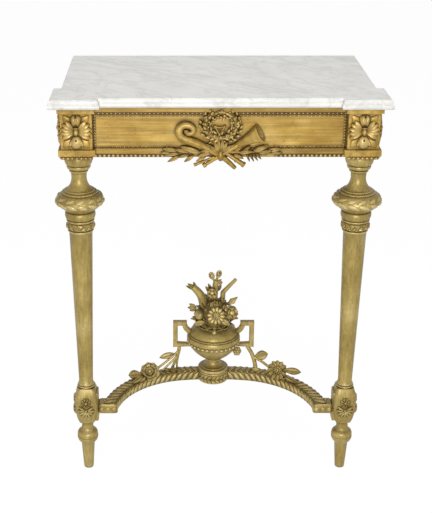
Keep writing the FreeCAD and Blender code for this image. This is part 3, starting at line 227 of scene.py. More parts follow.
def add_node(tree, kind, settings=(), give=0, stops=(), **links):
    """Adds a node and gives one of its outputs. Settings go to its properties, or by name or number
    to its sockets; stops are the places and colours of a ramp; links feed its sockets by name, or
    by number after an underscore."""
    node = tree.nodes.new("ShaderNode" + kind)
    for key, value in dict(settings).items():
        if isinstance(key, str) and hasattr(node, key):
            setattr(node, key, value)
        else:
            node.inputs[key].default_value = value
    for place, code in stops[2:]:
        node.color_ramp.elements.new(place)
    for number, (place, code) in enumerate(stops):
        node.color_ramp.elements[number].position = place
        node.color_ramp.elements[number].color = linear(code)
    for key, source in links.items():
        tree.links.new(source, node.inputs[int(key[1:]) if key[0] == "_" else key])
    return node.outputs[give]


# %% New materials
def new_material(name, settings):
    """Node material, its tree and its shader, whose sockets take the settings."""
    material = bpy.data.materials.new(name)
    material.use_nodes = True
    shader = material.node_tree.nodes["Principled BSDF"]
    for key, value in settings.items():
        shader.inputs[key].default_value = value
    return material, material.node_tree, shader


# %% [markdown]
# ### Gold leaf
# Leaf is a real metal, but over gesso it is worn, sealed and dusty, so it shines less than a plate:
# about a quarter of its colour is metal. Clouds 70 mm wide vary the tone, streaks a few millimetres
# wide follow the gilder's brush, and specks of 5 mm show where the ground comes through. A dark
# brown of dirt and painted shade follows the marks of the forms. As painted shade it also lies on
# faces that look up, on the bands above and below the rails' panels, and in each narrow corner that
# the Ambient Occlusion node finds within 11 mm, so the plain solids get it too. The pale gold of
# the marks is partly wear and partly a painted highlight. A Mix node blends colours when its data
# type says so; sockets 6 and 7 are then its two colours, and its third output is the result.

# %% Tones of gold
CLOUD_MM, STREAK_MM, SPECK_MM, CORNER_SHADE_MM, BAND_SHADE_EDGE_MM = 70, 16, 5, 11, 1
WARM_GOLD, PALE_GOLD = ("96752B", "AC8B3E", "BFA15A"), ("947D3F", "AB9554", "C3AE70")
# Pale gold for wear and painted highlight; dark brown for dirt and painted shade.
WORN_AND_HIGHLIGHT_GOLD, DIRT_AND_SHADE_BROWN = "ECD79A", "402B0A"
BRUSH_TONES = [(0.30, "707070"), (0.50, "B4B4B4"), (0.72, "E8E8E8")]
GROUND_TONES = [(0.30, "6B4A22"), (0.40, "FFFFFF")]
PANEL_FIELD = (771, 848)
COLOURS, MIXED = {"data_type": "RGBA"}, 2
OVERLAID, MULTIPLIED = (COLOURS | {"blend_type": way} for way in ("OVERLAY", "MULTIPLY"))
print("gold:", WARM_GOLD, PALE_GOLD)


# %% Gilding
def gilding(name, tones, brush, streaks=0.6, field=(0, 900)):
    """Aged gold leaf in three tones. The brush stretches the streaks, by a scale along x, y and z;
    streaks is their strength. Below and above the field, two heights in mm, the leaf is darkened as
    painted shade: the slab's shadow above and dimmer light below."""
    material, tree, shader = new_material(name, {"Metallic": 0.24, "Specular IOR Level": 0.3})
    place = add_node(tree, "TexCoord", give="Object")
    drawn = add_node(tree, "Mapping", {"Scale": brush}, Vector=place)
    cloud, speck, streak = (
        add_node(tree, "TexNoise", {"Scale": 1000 / width, "Detail": detail, "Roughness": rough},
                 Vector=space)
        for width, detail, rough, space in ((CLOUD_MM, 6.0, 0.6, place),
                                            (SPECK_MM, 4.0, 0.7, place),
                                            (STREAK_MM, 5.0, 0.65, drawn)))
    gold = add_node(tree, "ValToRGB", stops=list(zip((0.28, 0.50, 0.72), tones)), _0=cloud)
    brushed = add_node(tree, "ValToRGB", stops=BRUSH_TONES, _0=streak)
    ground = add_node(tree, "ValToRGB", stops=GROUND_TONES, _0=speck)
    gold = add_node(tree, "Mix", OVERLAID | {0: streaks}, MIXED, _6=gold, _7=brushed)
    gold = add_node(tree, "Mix", MULTIPLIED | {0: 0.55}, MIXED, _6=gold, _7=ground)

    # Wear and painted highlight: where the marks say so, pale gold comes through along the streaks.
    wear_and_highlight = add_node(tree, "Attribute", {"attribute_name": "wear_and_highlight"}, "Fac")
    wear_and_highlight = add_node(tree, "Math", {"operation": "MULTIPLY"}, _0=wear_and_highlight, _1=streak)
    gold = add_node(tree, "Mix", COLOURS | {7: linear(WORN_AND_HIGHLIGHT_GOLD)}, MIXED, _0=wear_and_highlight, _6=gold)

    # Dirt and painted shade from the marks of the forms, all mixed in dark brown below.
    dirt_and_shade = add_node(tree, "Attribute", {"attribute_name": "dirt_and_shade"}, "Fac")
    # Painted shade in narrow corners that Ambient Occlusion finds within 11 mm.
    corner = add_node(tree, "AmbientOcclusion",
                      {"samples": 8, "Distance": CORNER_SHADE_MM * METRES_PER_MM}, "AO")
    corner = add_node(tree, "MapRange", {"From Min": 0.88, "From Max": 0.30}, Value=corner)
    # Painted shade on faces that look up.
    normal = add_node(tree, "TexCoord", give="Normal")
    upward = add_node(tree, "SeparateXYZ", give="Z", Vector=normal)
    upward_shade = add_node(tree, "MapRange", {"From Min": 0.3, "To Max": 0.42}, Value=upward)
    # Painted shade in bands: the slab's shadow above the field and dimmer light below it.
    middle, half = sum(field) / 2 * METRES_PER_MM, (field[1] - field[0]) / 2 * METRES_PER_MM
    height = add_node(tree, "SeparateXYZ", give="Z", Vector=place)
    height = add_node(tree, "Math", {"operation": "SUBTRACT", 1: middle}, _0=height)
    height = add_node(tree, "Math", {"operation": "ABSOLUTE"}, _0=height)
    edge = half - BAND_SHADE_EDGE_MM * METRES_PER_MM
    band_shade = add_node(tree, "MapRange", {"From Min": edge, "From Max": half, "To Max": 0.3},
                     Value=height)
    for layer in (corner, upward_shade, band_shade):
        dirt_and_shade = add_node(tree, "Math", {"operation": "MAXIMUM"}, _0=dirt_and_shade, _1=layer)
    dirt_and_shade = add_node(tree, "Math", {"operation": "MULTIPLY", 1: 0.92}, _0=dirt_and_shade)
    gold = add_node(tree, "Mix", COLOURS | {7: linear(DIRT_AND_SHADE_BROWN)}, MIXED, _0=dirt_and_shade, _6=gold)

    rough = add_node(tree, "MapRange", {"To Min": 0.28, "To Max": 0.5}, Value=streak)
    relief = add_node(tree, "Math", {"operation": "ADD"}, _0=streak, _1=speck)
    bump = add_node(tree, "Bump", {"Strength": 0.22, "Distance": 0.0006}, Height=relief)
    tree.links.new(gold, shader.inputs["Base Color"])
    tree.links.new(rough, shader.inputs["Roughness"])
    tree.links.new(bump, shader.inputs["Normal"])
    return material


# %% Gold for each part
gold_carved = gilding("gold_leaf_on_frieze_carving", WARM_GOLD, (1.0, 1.0, 1.0))
# The rails get painted shade above and below their panels.
gold_rail = gilding("gold_leaf_brushed_lengthwise", WARM_GOLD, (0.08, 1.0, 2.2), field=PANEL_FIELD)
gold_side = gilding("gold_leaf_brushed_along_sides", WARM_GOLD, (1.0, 0.08, 2.2), field=PANEL_FIELD)
gold_turned = gilding("gold_leaf_on_turning", PALE_GOLD, (3.0, 3.0, 0.6), streaks=0.4)
gold_flowers = gilding("gold_leaf_on_stretcher_carving", PALE_GOLD, (1.0, 1.0, 1.0))
print([gold.name for gold in (gold_carved, gold_rail, gold_side, gold_turned, gold_flowers)])

# %% [markdown]
# ### Marble and softwood
# The marble is white with soft grey clouds 58 mm wide that lie aslant, a few thin veins along them,
# a fine sparkle of crystals, and a little painted shade in the groove of its edge. A vein is where
# a second noise passes its middle value. The pine was sawn and never finished: year rings 8 mm
# apart, drawn out along the board.

# %% Marble
MARBLE_CLOUD_MM, MARBLE_VEIN_MM, MARBLE_CRYSTAL_MM = 58, 42, 3
MARBLE_GROOVE_SHADE_MM, MARBLE_WARP_MM = 6, 200
MARBLE_SLANT, MARBLE_STRETCH, GROOVE_SHADE_GREY = -40, (1.8, 0.9, 1.0), "9C9588"
MARBLE_TONES = [(0.30, "D3D2CD"), (0.46, "E2E1DC"), (0.62, "E9E8E3")]
VEIN_TONES = [(0.0, "C4C4C3"), (0.022, "E3E3E2"), (0.07, "FFFFFF")]
CRYSTAL_TONES = [(0.35, "EFEFEF"), (0.60, "FFFFFF")]


def veined_marble():
    """Honed white marble: clouds and veins share one slanted, bent space, so the veins follow the
    clouds."""
    material, tree, shader = new_material("honed_white_marble", {"Roughness": 0.36, "IOR": 1.49})
    place = add_node(tree, "TexCoord", give="Object")
    slant = {"vector_type": "TEXTURE", "Rotation": (0.0, 0.0, math.radians(MARBLE_SLANT)),
             "Scale": MARBLE_STRETCH}
    aslant = add_node(tree, "Mapping", slant, Vector=place)
    warp = add_node(tree, "TexNoise",
                    {"Scale": 1000 / MARBLE_WARP_MM, "Detail": 5.0, "Roughness": 0.6}, "Color",
                    Vector=aslant)
    bent = add_node(tree, "Mix", {"data_type": "VECTOR", 0: 0.16}, 1, _4=aslant, _5=warp)
    cloud, vein, crystal = (
        add_node(tree, "TexNoise", {"Scale": 1000 / width, "Detail": detail, "Roughness": rough},
                 Vector=space)
        for width, detail, rough, space in ((MARBLE_CLOUD_MM, 8.0, 0.66, bent),
                                            (MARBLE_VEIN_MM, 3.0, 0.5, bent),
                                            (MARBLE_CRYSTAL_MM, 2.0, 0.5, place)))
    line = add_node(tree, "Math", {"operation": "SUBTRACT", 1: 0.5}, _0=vein)
    line = add_node(tree, "Math", {"operation": "ABSOLUTE"}, _0=line)
    stone = add_node(tree, "ValToRGB", stops=MARBLE_TONES, _0=cloud)
    veins = add_node(tree, "ValToRGB", stops=VEIN_TONES, _0=line)
    sparkle = add_node(tree, "ValToRGB", stops=CRYSTAL_TONES, _0=crystal)
    for layer, share in ((veins, 0.35), (sparkle, 0.5)):
        stone = add_node(tree, "Mix", MULTIPLIED | {0: share}, MIXED, _6=stone, _7=layer)
    # Painted shade: grey laid into the groove of the edge and the corners that Ambient Occlusion
    # finds within 6 mm.
    groove = add_node(tree, "AmbientOcclusion",
                      {"samples": 8, "Distance": MARBLE_GROOVE_SHADE_MM * METRES_PER_MM}, "AO")
    groove = add_node(tree, "MapRange", {"From Min": 0.9, "From Max": 0.3, "To Max": 0.6},
                      Value=groove)
    stone = add_node(tree, "Mix", COLOURS | {7: linear(GROOVE_SHADE_GREY)}, MIXED, _0=groove, _6=stone)
    tree.links.new(stone, shader.inputs["Base Color"])
    return material


marble = veined_marble()
print(marble.name)

# %% Bare softwood
RING_MM, BOARD_STRETCH = 8, (0.06, 1.0, 1.0)
PINE_TONES = [(0.30, "6E4E2E"), (0.55, "8F6C44"), (0.75, "A5835A")]


def bare_softwood():
    """Sawn pine: pale brown with darker year rings, and a rough saw-cut surface."""
    material, tree, shader = new_material("sawn_pine", {"Roughness": 0.72})
    place = add_node(tree, "TexCoord", give="Object")
    board = add_node(tree, "Mapping", {"Scale": BOARD_STRETCH}, Vector=place)
    rings = add_node(tree, "TexNoise", {"Scale": 1000 / RING_MM, "Detail": 6.0, "Roughness": 0.6},
                     Vector=board)
    wood = add_node(tree, "ValToRGB", stops=PINE_TONES, _0=rings)
    bump = add_node(tree, "Bump", {"Strength": 0.25, "Distance": 0.0005}, Height=rings)
    tree.links.new(wood, shader.inputs["Base Color"])
    tree.links.new(bump, shader.inputs["Normal"])
    return material


pine = bare_softwood()
print(pine.name)

# %% [markdown]
# ## Solids that stay
# The rails, corner blocks and hidden joinery are right as they are, so they only get their finish.
# The streaks of the gilder's brush run along each board.

# %% Finish the plain solids
FINISHES = {
    gold_rail: ["front_rail"],
    gold_side: ["left_side_rail", "right_side_rail"],
    gold_carved: ["left_corner_block", "right_corner_block"],
    pine: ["back_rail", "left_glue_block", "right_glue_block", "tenon_pegs", "stretcher_dowels",
           "urn_dowel"],
}
for finish, names in FINISHES.items():
    for name in names:
        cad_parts[name].data.materials.clear()
        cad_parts[name].data.materials.append(finish)
print({finish.name: len(names) for finish, names in FINISHES.items()})

# %% [markdown]
# ## Marble slab
# The slab breaks forward over the legs. It is a stack of outlines: each level of the moulding has
# the same plan, drawn in by the depth of the profile there, but not at the wall. Joining the levels
# gives sharp mitres, which a bevel on a block would round off.

# %% Slab levels
HALF_WIDTH, HALF_DEPTH, SLAB_BOTTOM = 345.0, 202.5, 860.0
CORNER_WIDTH, CORNER_LENGTH, BREAK = 104.0, 108.0, 16.0


def slab_plan(inset):
    """Corners of the slab's plan for each inset: array (levels, 12, 2), counter-clockwise from the
    front."""
    edge, waist = HALF_WIDTH - inset, HALF_WIDTH - BREAK - inset
    front, inner = inset - HALF_DEPTH, HALF_WIDTH - CORNER_WIDTH + inset
    step, wall = CORNER_LENGTH - HALF_DEPTH - inset, np.full_like(inset, HALF_DEPTH)
    right = [(inner, front + BREAK), (inner, front), (edge, front), (edge, step), (waist, step),
             (waist, wall)]
    left = [(-x, y) for x, y in reversed(right)]
    return np.stack([np.stack(corner, axis=-1) for corner in right + left], axis=1)


def marble_slab():
    """Levels of (inset, height): a half-round lower edge, a small step, a quarter-round upper edge,
    a flat top."""
    turn = np.linspace(0, 1, 9) * math.pi / 2
    inset = [5 - 5 * np.sin(turn), 5 - 5 * np.cos(turn[:6]), [3], 9 - 6 * np.cos(turn)]
    height = [5 - 5 * np.cos(turn), 6 + 5 * np.sin(turn[:6]), [10.6], 14 + 6 * np.sin(turn)]
    plan = slab_plan(np.concatenate(inset))
    return xyz(plan[..., 0], plan[..., 1], (np.concatenate(height) + SLAB_BOTTOM)[:, None])


levels = marble_slab()
around_slab = np.arange(levels.shape[1])
piece("marble_slab", "marble_top", grid(levels), marble, crease=30,
      caps=(around_slab[::-1], around_slab + levels[:-1, :, 0].size))

# %% [markdown]
# ## Carver's shapes
# A few shapes serve all the carving: a bead, a leaf, a ribbed petal, a bar along a curve and a
# turned body. Each is one grid whose rows run along the piece and whose columns run round its
# section, so that it is closed and light.


# %% Bead
def bead(half_x, half_y, half_z, rows=7, columns=10):
    """Ellipsoid: rows are latitudes along z, columns longitudes; its rim is darkened with dirt and
    painted shade, and its crown paled with wear and a painted highlight."""
    tilt, turn = np.linspace(-1, 1, rows)[:, None] * math.pi / 2, angles(columns)
    level = np.broadcast_to(np.sin(tilt), (rows, columns))
    marks = np.stack([np.clip(0.55 - 1.2 * level, 0, 0.9), np.clip(level, 0, 1) * 0.7], axis=-1)
    x, y = half_x * np.cos(tilt) * np.cos(turn), half_y * np.cos(tilt) * np.sin(turn)
    return grid(xyz(x, y, half_z * level), marks)


# %% Leaf
def leaf(length, width, height, belly=0.45, curl=0.0, sink=1.0, groove=0.5, lobes=0, rows=9,
         columns=12):
    """Pointed leaf along x. Its half width is W/2 sin(pi u^k)^0.8, widest at u = belly. The top
    rises to its height between the edges, parted by a groove; lobes notch the edge, and the tip
    lifts by curl u^2."""
    along, turn = np.linspace(0, 1, rows)[:, None], angles(columns)
    swell = np.clip(np.sin(math.pi * along ** (math.log(0.5) / math.log(belly))), 0, 1) ** 0.8
    notch = 0.3 * (lobes > 0) * np.abs(np.sin(math.pi * lobes * along))
    side, lift = np.cos(turn), np.sin(turn)
    top = height * swell ** 0.7 * np.clip(lift, 0, 1) * (1 - groove * np.exp(-(side / 0.2) ** 2))
    under = -sink * np.clip(-lift, 0, 1) * swell
    y = width / 2 * swell * (1 - notch * np.abs(side)) * side
    z = np.where(lift > 0, top, under) + curl * along ** 2
    level = top / height
    # Marks: dirt and painted shade towards the edges and under the leaf, wear and a painted
    # highlight on its top.
    marks = np.stack([np.clip(0.75 - 1.5 * level, 0, 1), np.clip(level * 1.3 - 0.5, 0, 1)], axis=-1)
    return grid(xyz(length * along, y, z), marks)


# %% Petal
def petal(length, width, height, ribs=3, root=0.2, curl=0.0, depth=0.28, rows=9, columns=22):
    """Fan along x: half width W/2 (root + (1 - root) u^0.8) sqrt(1 - u^6), with ribs cut into its
    top by a depth."""
    along, turn = np.linspace(0, 1, rows)[:, None], angles(columns)
    side, lift = np.cos(turn), np.sin(turn)
    spread = root * np.sqrt(np.clip(along * 12, 0, 1)) + (1 - root) * along ** 0.8
    spread = spread * np.sqrt(1 - along ** 6)
    wave = 1 - depth + depth * np.cos(TAU * ribs * (side + 1) / 2 + math.pi)
    body = np.sin(math.pi * (0.12 + 0.8 * along)) * (spread > 0)
    top = height * body * np.clip(lift, 0, 1) ** 0.6 * wave
    z = np.where(lift > 0, top, -np.clip(-lift, 0, 1) * (spread > 0)) + curl * along ** 2
    level = top / height
    # Marks: dirt and painted shade towards the edges and under the petal, wear and a painted
    # highlight on its top.
    marks = np.stack([np.clip(0.8 - 1.5 * level, 0, 1), np.clip(level - 0.5, 0, 1)], axis=-1)
    return grid(xyz(length * along, width / 2 * spread * side, z), marks)


# %% Curves and bars
def curve(control, count=16):
    """Uniform cubic B-spline: each point is a weighted mean of four neighbours; repeated ends clamp
    it."""
    control = np.asarray(control, float)
    control = np.concatenate([control[:1]] * 2 + [control] + [control[-1:]] * 2)
    place = np.linspace(0, len(control) - 3 - 1e-9, count)
    start = place.astype(int)
    t = (place - start)[:, None]
    weights = ((1 - t) ** 3, 3 * t ** 3 - 6 * t ** 2 + 4, -3 * t ** 3 + 3 * t ** 2 + 3 * t + 1,
               t ** 3)
    return sum(weight * control[start + step] for step, weight in enumerate(weights)) / 6


def ellipse(half_x, half_y, centre, count):
    """Points all round an ellipse in a relief's plane; the last one is the first again."""
    return spokes(np.linspace(0, TAU, count)) * (half_x, half_y, 0) + centre


def circles(centres, radii, heading, side, columns):
    """Rings of points about centres, square to a heading; each starts at its side."""
    turn = angles(columns)[:, None]
    ring = np.cos(turn) * side[..., None, :] + np.sin(turn) * np.cross(side, heading)[..., None, :]
    return centres[:, None] + radii[:, None, None] * ring


def bar(path, radii, columns=12, marks=(0.0, 0.0)):
    """Round bar: circles square to a path, with radii spread evenly along it, closed at both
    ends."""
    path = np.asarray(path, float)
    radii = np.interp(np.linspace(0, 1, len(path)), np.linspace(0, 1, len(radii)), radii)
    heading = unit(np.gradient(path, axis=0))
    side = unit(np.cross(heading, np.eye(3)[np.argmin(np.abs(heading).max(axis=0))]))
    return grid(closed(circles(path, radii, heading, side, columns)), marks)


# %% Eased boxes
def rounded_square(count, power):
    """Ring of a square of half width one, with its corners rounded: a superellipse of some
    power."""
    turn = angles(count, 0.5)
    radius = (np.abs(np.cos(turn)) ** power + np.abs(np.sin(turn)) ** power) ** (-1 / power)
    return radius * np.cos(turn), radius * np.sin(turn)


def eased_box(low, high, ease=0.03):
    """Box with eased edges: a superellipse of power 12 in plan, drawn in a little at the top and
    bottom."""
    low, high = np.array(low), np.array(high)
    middle, half = (low + high) / 2, (high - low) / 2
    ring_x, ring_y = rounded_square(40, 12)
    size = np.array([1 - ease, 1, 1, 1 - ease])[:, None]
    z = low[2] + (high[2] - low[2]) * np.array([0, ease, 1 - ease, 1])[:, None]
    x, y = middle[0] + half[0] * size * ring_x, middle[1] + half[1] * size * ring_y
    return grid(closed(xyz(x, y, z)))


# %% Profiles
def arcs(stations, steps=7):
    """Profile through (radius, height, bulge) stations: a stretch with bulge b is an arc that rises
    b chords."""
    stations = np.asarray(stations, float)
    share = np.linspace(0, 1, steps, endpoint=False)[None]
    start, chord, bulge = stations[:-1, :2], np.diff(stations[:, :2], axis=0), stations[:-1, 2:]
    half = 2 * np.arctan(2 * np.where(bulge == 0, 1e-6, bulge))
    reach, tilt = np.sin(share * half) / np.sin(half), -(1 - share) * half
    x = reach * (chord[:, :1] * np.cos(tilt) - chord[:, 1:] * np.sin(tilt))
    y = reach * (chord[:, :1] * np.sin(tilt) + chord[:, 1:] * np.cos(tilt))
    points = start[:, None] + np.stack([x, y], axis=-1)
    return np.concatenate([points.reshape(-1, 2), stations[-1:, :2]])


def lengths(profile):
    """Length along a profile up to each of its points."""
    return np.concatenate([[0], np.cumsum(np.hypot(*np.diff(profile, axis=0).T))])


# %% Turned bodies
HOLLOW_MM, PROUD_MM = 4.0, 1.2


def turning(profile, place=(0, 0, 0), columns=72, dirt_and_shade=0.0):
    """Body turned about an upright axis: (r cos a, r sin a, z) for a profile (r, z), closed on the
    axis.

    A point whose radius is less than the mean radius within 4 mm lies in a hollow and is darkened
    with dirt and painted shade; a point that is prouder than its neighbours is paled by wear and a
    painted highlight."""
    profile = np.concatenate([profile[:1] * (0, 1), profile, profile[-1:] * (0, 1)])
    run = lengths(profile)
    near = np.exp(-((run[:, None] - run[None]) / HOLLOW_MM) ** 2) * np.gradient(run)[None]
    proud = (profile[:, 0] - (near * profile[:, 0]).sum(axis=1) / near.sum(axis=1)) / PROUD_MM
    marks = np.stack([np.clip(dirt_and_shade - proud - 0.1, 0, 0.9), np.clip(proud - 0.2, 0, 0.8)], axis=-1)
    turn, radius, height = angles(columns), profile[:, :1], profile[:, 1:]
    points = xyz(radius * np.cos(turn), radius * np.sin(turn), height)
    return grid(points + place, marks[:, None, :])


# %% Relief on a turned body
def around(form, profile, count, height, place=(0, 0, 0), start=0.0):
    """Copies of a flat relief bent onto a turned body: x runs round it, y up its profile and z out
    of it."""
    run = lengths(profile)
    slope = unit(np.gradient(profile, run, axis=0))
    middle = np.interp(height, profile[:, 1], run)
    x, y, z = form[0].T
    radius, level, lean, rise = (np.interp(middle + y, run, values)
                                 for values in (*profile.T, *slope.T))
    turn = start + angles(count)[:, None] + x / np.interp(middle, run, profile[:, 0])
    wide = radius + z * rise
    bent = xyz(wide * np.cos(turn), wide * np.sin(turn), level - z * lean)
    shift = np.arange(count)[:, None, None] * len(x)
    faces = (outward(bent[0], form[1])[None] + shift).reshape(-1, 4)
    return bent.reshape(-1, 3) + place, faces, np.tile(form[2], (count, 1))


# %% [markdown]
# ## Bead strings
# The frieze is framed by strings of carved beads. Each string is one thin strip with a small
# ellipsoid at every step, so hundreds of beads stay light. The strip under the beads is painted
# dark as shade, which makes them read.

# %% One string of beads
BEAD_PITCH, BEAD_RISE, STRIP_BACK, STRIP_FRONT = 8.6, 0.7, 0.4, 0.5


def bead_string(start, end, out, radius, pitch=BEAD_PITCH, slant=0.0, oval=1.0, margin=0.0,
                dirt=0.6):
    """Beads from start to end on a strip darkened as painted shade, wider than they are by a margin;
    slant turns each bead in its seat, oval shortens it."""
    start, end, out = np.array(start), np.array(end), np.array(out)
    length = np.linalg.norm(end - start)
    count = int(length / pitch)
    along = (end - start) / length
    seats = start + along * ((np.arange(count) + 0.5) * length / count)[:, None] + out * BEAD_RISE
    row = copies(about_z(bead(radius * oval, radius, radius), slant), seats, axes(along, out))
    across = np.abs(np.cross(along, out)) * (radius + margin)
    corners = np.stack([start - across - out * STRIP_BACK, end + across + out * STRIP_FRONT])
    return join(dirty(eased_box(corners.min(axis=0), corners.max(axis=0)), dirt), row)


# %% Strings on the front rail
RAIL_HALF, PANEL_Y, PANEL_TOP, PANEL_BOTTOM = 258.0, -161.5, 841.0, 771.0
UPPER_LEVEL, LOWER_LEVEL, SEAT_STEP = 845.0, 755.6, 3.0
# The dark strip is painted shade under the cornice.
UPPER_BEAD, LOWER_BEAD, SMALL_BEAD, DARK_STRIP = 2.7, 3.6, 2.2, {"margin": 1.3, "dirt": 1.0}
OVAL_BEAD, OVAL_PITCH, OVAL_SLANT, OVAL_SHARE, OVAL_INSET, OVAL_GAP = 3.0, 6.0, 34, 0.62, 4, 5
UPPER_STOP, PANEL_STOP, LOWER_STOP = 34, 60, 112


def oval_string(x, y, out, slant):
    """Upright string of slanted ovals at one end of a panel."""
    ends = [(x, y, z) for z in (PANEL_BOTTOM + OVAL_GAP, PANEL_TOP - OVAL_GAP)]
    return bead_string(*ends, out, OVAL_BEAD, OVAL_PITCH, slant, OVAL_SHARE)


def front_strings(side):
    """Bead strings of one half of the front rail, which stop where the trophy covers them."""
    def run(inner, y, z, radius, **strip):
        ends = [(side * x, y, z) for x in (inner, RAIL_HALF)]
        return bead_string(*ends, (0, -1, 0), radius, **strip)

    seat = PANEL_Y - SEAT_STEP
    panel = join(run(UPPER_STOP, PANEL_Y, PANEL_TOP - SMALL_BEAD, SMALL_BEAD),
                 run(PANEL_STOP, PANEL_Y, PANEL_BOTTOM + SMALL_BEAD, SMALL_BEAD),
                 oval_string(side * (RAIL_HALF - OVAL_INSET), PANEL_Y, (0, -1, 0),
                             side * OVAL_SLANT))
    # Under the upper and lower strings the strip is painted fully dark as shade.
    return {"upper": run(UPPER_STOP, seat, UPPER_LEVEL, UPPER_BEAD, **DARK_STRIP), "panel": panel,
            "lower": run(LOWER_STOP, seat, LOWER_LEVEL, LOWER_BEAD, dirt=1.0)}


left_half, right_half = front_strings(-1), front_strings(1)
for kind in left_half:
    piece(f"front_{kind}_pearls", f"front_{kind}_beads", join(left_half[kind], right_half[kind]),
          gold_carved)

# %% Strings on the sides and the blocks
SIDES = (("left", -1), ("right", 1))
LEG_X, LEG_Y, BLOCK_HALF, PANEL_X = 290.0, -150.5, 32.0, 301.0
SIDE_FRONT = LEG_Y + BLOCK_HALF


def side_strings(side):
    """Bead strings of one side rail, from the corner block to the wall."""
    def run(x, z, radius, **strip):
        ends = [(side * x, y, z) for y in (SIDE_FRONT, HALF_DEPTH)]
        return bead_string(*ends, (side, 0, 0), radius, **strip)

    seat = PANEL_X + SEAT_STEP
    panel = join(*(run(PANEL_X, z, SMALL_BEAD)
                   for z in (PANEL_TOP - SMALL_BEAD, PANEL_BOTTOM + SMALL_BEAD)),
                 *(oval_string(side * PANEL_X, y, (side, 0, 0), OVAL_SLANT)
                   for y in (SIDE_FRONT + OVAL_INSET, HALF_DEPTH - OVAL_INSET)))
    return {"upper": run(seat, UPPER_LEVEL, UPPER_BEAD, **DARK_STRIP), "panel": panel,
            "lower": run(seat, LOWER_LEVEL, LOWER_BEAD)}


for name, side in SIDES:
    for kind, form in side_strings(side).items():
        piece(f"{name}_{kind}_pearls", f"{name}_{kind}_beads", form, gold_carved)
    front, outer = LEG_Y - BLOCK_HALF, side * (LEG_X + BLOCK_HALF)
    across = [(side * LEG_X + half, front, LOWER_LEVEL) for half in (-BLOCK_HALF, BLOCK_HALF)]
    along = [(outer, LEG_Y + half, LOWER_LEVEL) for half in (-BLOCK_HALF, BLOCK_HALF)]
    block = join(bead_string(*across, (0, -1, 0), LOWER_BEAD),
                 bead_string(*along, (side, 0, 0), LOWER_BEAD))
    piece(f"{name}_block_pearls", f"{name}_block_beads", block, gold_carved)

# %% [markdown]
# ## Corner rosettes
# Each corner block carries a flower that fills its die. A lobed petal stands above and a round bud
# below, both with a drilled eye: a small bead painted dark as its shade. At the sides leaves fan out
# like wings, and a banded boss ties them. Low leaves fill the corners. The relief is drawn flat,
# x to the right and y up, and then set up on the front and the outer face.

# %% Rosette relief
FAN_ANGLES = (-27, -8, 11, 30, 48)
ROSETTE_CORNERS = ((50, 10, 15, -0.8), (130, -10, 15, -0.8), (-48, 10, -15, -0.3),
                   (228, -10, -15, -0.3))
ROSETTE_EYES = [(0, 13.5, 6.0), (0, -17.5, 7.0), (0, 31, 5.0)]


def rosette_relief():
    """A fan of five leaves at each side, a lobed petal above, a bud with two sepals below, drilled
    eyes painted dark as shade, the banded boss, and a low leaf in each corner."""
    corner = leaf(25, 19, 3.2, belly=0.5, groove=0.3, lobes=2, rows=13, sink=2)
    fan = with_shade_and_wear(leaf(33, 12, 7.6, belly=0.62, groove=0.35, rows=13, columns=18, sink=3), 0.9, -0.1)
    lobed = with_shade_and_wear(petal(27, 27, 8.4, ribs=3, root=0.55, depth=0.16, rows=11, columns=28), 0.6, 0.15)
    bud = with_shade_and_wear(bead(12.5, 15, 8.6, rows=11, columns=22), 0.8)
    sepal = leaf(21, 9, 6.2, belly=0.5, groove=0.2, sink=3)
    forms = [about_z(with_shade_and_wear(corner, 1.0, wear_and_highlight), degrees, x, y)
             for degrees, x, y, wear_and_highlight in ROSETTE_CORNERS]
    forms += [about_z(fan, degrees) for turn in FAN_ANGLES for degrees in (turn, 180 - turn)]
    # The eyes are small beads painted dark all over: the shade of drilled holes.
    forms += [about_z(lobed, 90, 0, 9), about_z(bud, 0, 0, -22.5), about_z(sepal, -62, 5, -14),
              about_z(sepal, -118, -5, -14), copies(dirty(bead(2.0, 3.0, 2.6), 1.0), ROSETTE_EYES),
              bead(5.2, 8.5, 11.5, rows=9, columns=14), about_z(bead(6.4, 2.4, 10.0), 0, 0, 8)]
    return join(*forms)


# %% Rosettes on the blocks
RIGHT, ROSETTE_LEVEL = np.array([1.0, 0, 0]), 811.0


def on_block(relief, side, front, outer, level):
    """A relief set up on the front and on the outer face of a block, at two distances from the
    leg's axis."""
    return (stand(relief, (side * LEG_X, LEG_Y - front, level), RIGHT),
            stand(relief, (side * (LEG_X + outer), LEG_Y, level), np.array([0, side, 0.0])))


flower = rosette_relief()
for name, side in SIDES:
    for face, form in zip(("front", "outer"),
                          on_block(flower, side, BLOCK_HALF, BLOCK_HALF, ROSETTE_LEVEL)):
        piece(f"{name}_{face}_flower", f"{name}_{face}_rosette", form, gold_carved)

# %% [markdown]
# ## Legs
# A leg is turned in one piece: foot, ball, block, shaft, girdle, knob, neck and vase. The profile
# is a chain of arcs between stations, spun about the leg's axis, as on a lathe. The block is left
# square with swelling sides. Leaves are drawn flat and wrapped on the knob and the girdle.

